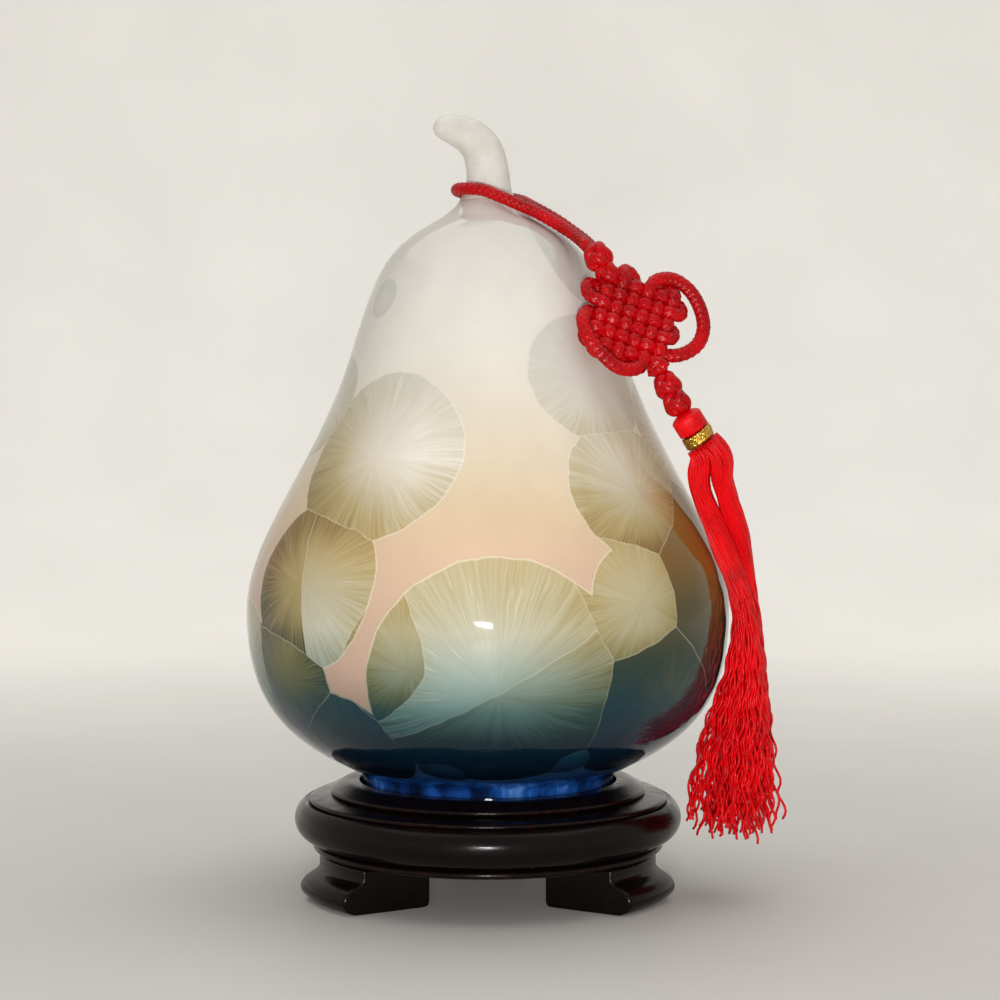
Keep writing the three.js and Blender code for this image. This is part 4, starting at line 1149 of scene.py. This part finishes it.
def grow_crystals(mesh):
    """Gives each face the crystals that reach it first. Growth is head start, edge reach and tone."""
    table = {
        "heart": np.array([surface_point(azimuth, height) for azimuth, height, *_ in CRYSTALS]),
        "growth": np.array([crystal[2:5] for crystal in CRYSTALS], float),
        "painted_sheen_way": np.array([crystal[5] for crystal in CRYSTALS], float),
        "upright": np.array([surface_upright(azimuth, height) for azimuth, height, *_ in CRYSTALS]),
    }
    middles = np.array([polygon.center for polygon in mesh.polygons]) / MM
    far = np.linalg.norm(middles[:, None] - table["heart"][None], axis=2)
    order = np.argsort(far - table["growth"][:, 0], axis=1)
    for kind, values in table.items():
        for rank in range(NEAREST_CRYSTALS):
            attribute = mesh.attributes.new(f"{kind}_{rank}", "FLOAT_VECTOR", "FACE")
            attribute.data.foreach_set("vector", values[order[:, rank]].astype(np.float32).ravel())


gourd_skin = Skin(lathe(gourd_profile(), SIDES["gourd"]), closed=True)
gourd_body = gourd_skin.piece("gourd_glazed", "gourd", "crystalline_glaze", "gourd_body")
gourd_body.data.materials.append(BISCUIT)
grow_crystals(gourd_body.data)
for polygon in gourd_body.data.polygons:
    x, y, z = (c / MM for c in polygon.center)
    bare = math.hypot(x, y) < FOOT_RING_RADIUS - BARE_EDGE and z < GOURD_BOTTOM + FOOT_RING_EDGE
    polygon.material_index = int(bare)


def stem_rings():
    """A tapering stalk that flares on to the crown and narrows to a rounded tip."""
    line, ways = smooth_route([(x, 0, z + STEM_SEAT) for x, z in STEM_ROUTE], STEM_STEP)
    shares = np.linspace(0, 1, len(line))
    arc_length = shares * lengths_along(line)[-1]
    tip = np.clip((shares - 1 + STEM_TIP_ROUND) / STEM_TIP_ROUND, 0, 1)
    taper = (STEM_TIP_RADIUS - STEM_RADIUS) * shares**3
    radius = (stem_radius(arc_length) + taper) * np.sqrt(1 - STEM_TIP_CLOSE * tip**2)
    ways[0] = (0, 0, 1)
    line[0, 2] -= SEAT_GAP
    return tube(line, ways, (0, 1, 0), 2 * radius, 2 * radius, SIDES["stem"])


Skin(stem_rings()).piece("stem_glazed", "gourd", "white_glaze", "gourd_stem")


# Stand
def rub_edges(obj, wear):
    """Marks how far each point is rubbed, from its place in millimetres."""
    attribute = obj.data.attributes.new("rubbed", "FLOAT", "POINT")
    for i, vertex in enumerate(obj.data.vertices):
        attribute.data[i].value = wear(vertex.co / MM)


def ring_profile():
    points = [(AXIS_RADIUS, RING_UNDERSIDE), (LOWER_BEAD["radius"] - RECESS_EDGE, RING_UNDERSIDE)]

    def bead(shape):
        return arc((shape["radius"], shape["height"]), shape["size"], shape["size"], -90, 90, steps=14)

    points += bead(LOWER_BEAD)
    points += arc(
        (RING_RADIUS, TORUS["height"]), TORUS["reach"], TORUS["rise"], TORUS["from"], TORUS["to"], steps=30,
    )
    points += bead(MIDDLE_BEAD) + bead(UPPER_BEAD)
    lip = RECESS_RADIUS + RIM_LIP_WIDTH
    bend = ((lip + UPPER_BEAD["radius"]) / 2, RING_RIM_HEIGHT)
    points += bezier(points[-1], bend, bend, (lip, RING_RIM_HEIGHT), steps=10)
    edge = RECESS_EDGE
    points += arc((RECESS_RADIUS + edge, RING_RIM_HEIGHT - edge), edge, edge, 90, 180, steps=5)
    return points + [(RECESS_RADIUS, RECESS_FLOOR), (AXIS_RADIUS, RECESS_FLOOR)]


ring_skin = Skin(lathe(ring_profile(), SIDES["ring"]), closed=True)
stand_ring = ring_skin.piece("stand_ring_lacquered", "stand", "lacquered_wood", "stand_ring")
stand_ring.data.set_sharp_from_angle(angle=radians(RING_CREASE))
BEADS = (LOWER_BEAD, MIDDLE_BEAD, UPPER_BEAD)
BEAD_TIPS = [(bead["radius"] + bead["size"], bead["height"]) for bead in BEADS]
rub_edges(stand_ring, lambda p: max(
    math.exp(-math.hypot(math.hypot(p.x, p.y) - r, p.z - z) / RUBBED_WIDTH) for r, z in BEAD_TIPS
))


def foot_profile():
    flank = (FOOT_BULGE_RADIUS + FOOT_WAIST_RADIUS) / 2
    points = [np.array((FOOT_BASE_RADIUS, 0.0))]
    points += bezier(
        points[-1],
        (FOOT_BULGE_RADIUS - FOOT_BULGE_CURVE["toe"], FOOT_BULGE_CURVE["lift"]),
        (FOOT_BULGE_RADIUS, FOOT_BULGE_CURVE["shoulder"]),
        (flank, FOOT_SHOULDER_HEIGHT), steps=12,
    )
    points += bezier(
        points[-1],
        (FOOT_WAIST_RADIUS + FOOT_HOLLOW_CURVE["out"], FOOT_SHOULDER_HEIGHT + FOOT_HOLLOW_CURVE["lift"]),
        (FOOT_WAIST_RADIUS, FOOT_WAIST_HEIGHT - FOOT_HOLLOW_CURVE["waist"]),
        (FOOT_WAIST_RADIUS, FOOT_WAIST_HEIGHT), steps=8,
    )
    points += [(FOOT_WAIST_RADIUS, FOOT_TOP), (FOOT_INNER_RADIUS, FOOT_TOP)]
    points.append((FOOT_INNER_RADIUS, FOOT_HEEL_ROUND))
    heel = (FOOT_INNER_RADIUS, 0)
    return points + bezier(points[-1], heel, heel, (FOOT_INNER_RADIUS + FOOT_HEEL_ROUND, 0), steps=6)


for name, azimuth in FOOT_AZIMUTHS.items():
    turn = Euler((0, 0, radians(azimuth))).to_matrix().to_4x4()
    columns = np.linspace(-FOOT_WIDTH / 2, FOOT_WIDTH / 2, FOOT_COLUMNS)
    rings = [[(math.sqrt(r * r - v * v), v, z) for r, z in foot_profile()] for v in columns]
    foot = Skin(moved(turn, rings)).piece(f"{name}_lacquered", "stand", "lacquered_wood", name)
    bevel = foot.modifiers.new("eased_edges", "BEVEL")
    bevel.width = FOOT_BEVEL["width"] * MM
    bevel.segments = FOOT_BEVEL["segments"]
    bevel.limit_method = "ANGLE"
    bevel.angle_limit = radians(FOOT_BEVEL["angle"])
    foot.data.set_sharp_from_angle(angle=radians(FOOT_BEVEL["angle"]))
    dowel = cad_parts[name.replace("stand_foot", "foot_dowel")]
    dowel.data.materials.clear()
    dowel.data.materials.append(MATERIALS["bare_wood"])

# Floor, with a sweep up behind
floor_line = [(-FLOOR_HALF, 0), (FLOOR_BACK, 0)]
floor_line += [
    (FLOOR_BACK + SWEEP_RADIUS * math.sin(a), SWEEP_RADIUS * (1 - math.cos(a)))
    for a in np.radians(np.linspace(90 / SWEEP_STEPS, 90, SWEEP_STEPS))
]
floor_line.append((FLOOR_BACK + SWEEP_RADIUS, FLOOR_HALF))
floor_mesh = bpy.data.meshes.new("floor")
floor_mesh.from_pydata(
    [(side * FLOOR_HALF * MM, y * MM, z * MM) for y, z in floor_line for side in (-1, 1)], [],
    [(2 * i, 2 * i + 1, 2 * i + 3, 2 * i + 2) for i in range(len(floor_line) - 1)],
)
floor_mesh.shade_smooth()
floor_mesh.materials.append(plain_floor())
floor = bpy.data.objects.new("floor", floor_mesh)
bpy.context.scene.collection.objects.link(floor)


def add_lamp(name, place, aim, size, spread, power):
    data = bpy.data.lights.new(name, "AREA")
    data.shape = "RECTANGLE"
    data.size, data.size_y = (side * MM for side in size)
    data.spread = radians(spread)
    data.energy = power
    lamp = bpy.data.objects.new(name, data)
    lamp.location = Vector(place) * MM
    lamp.rotation_euler = (Vector(aim) - Vector(place)).to_track_quat("-Z", "Y").to_euler()
    bpy.context.scene.collection.objects.link(lamp)


for name, lamp in LAMPS.items():
    add_lamp(name, **lamp)

world = bpy.data.worlds.new("studio")
world.use_nodes = True
sky, backdrop = Shade(world.node_tree), world.node_tree.nodes["Background"]
backdrop.inputs["Color"].default_value = tint(240, 238, 234)
shown = sky.range(sky.background_ray(), 0.0, 1.0, WORLD_STRENGTH, BACKGROUND_STRENGTH)
sky.put(backdrop.inputs["Strength"], shown)
bpy.context.scene.world = world
bpy.context.scene.view_settings.view_transform = "Standard"
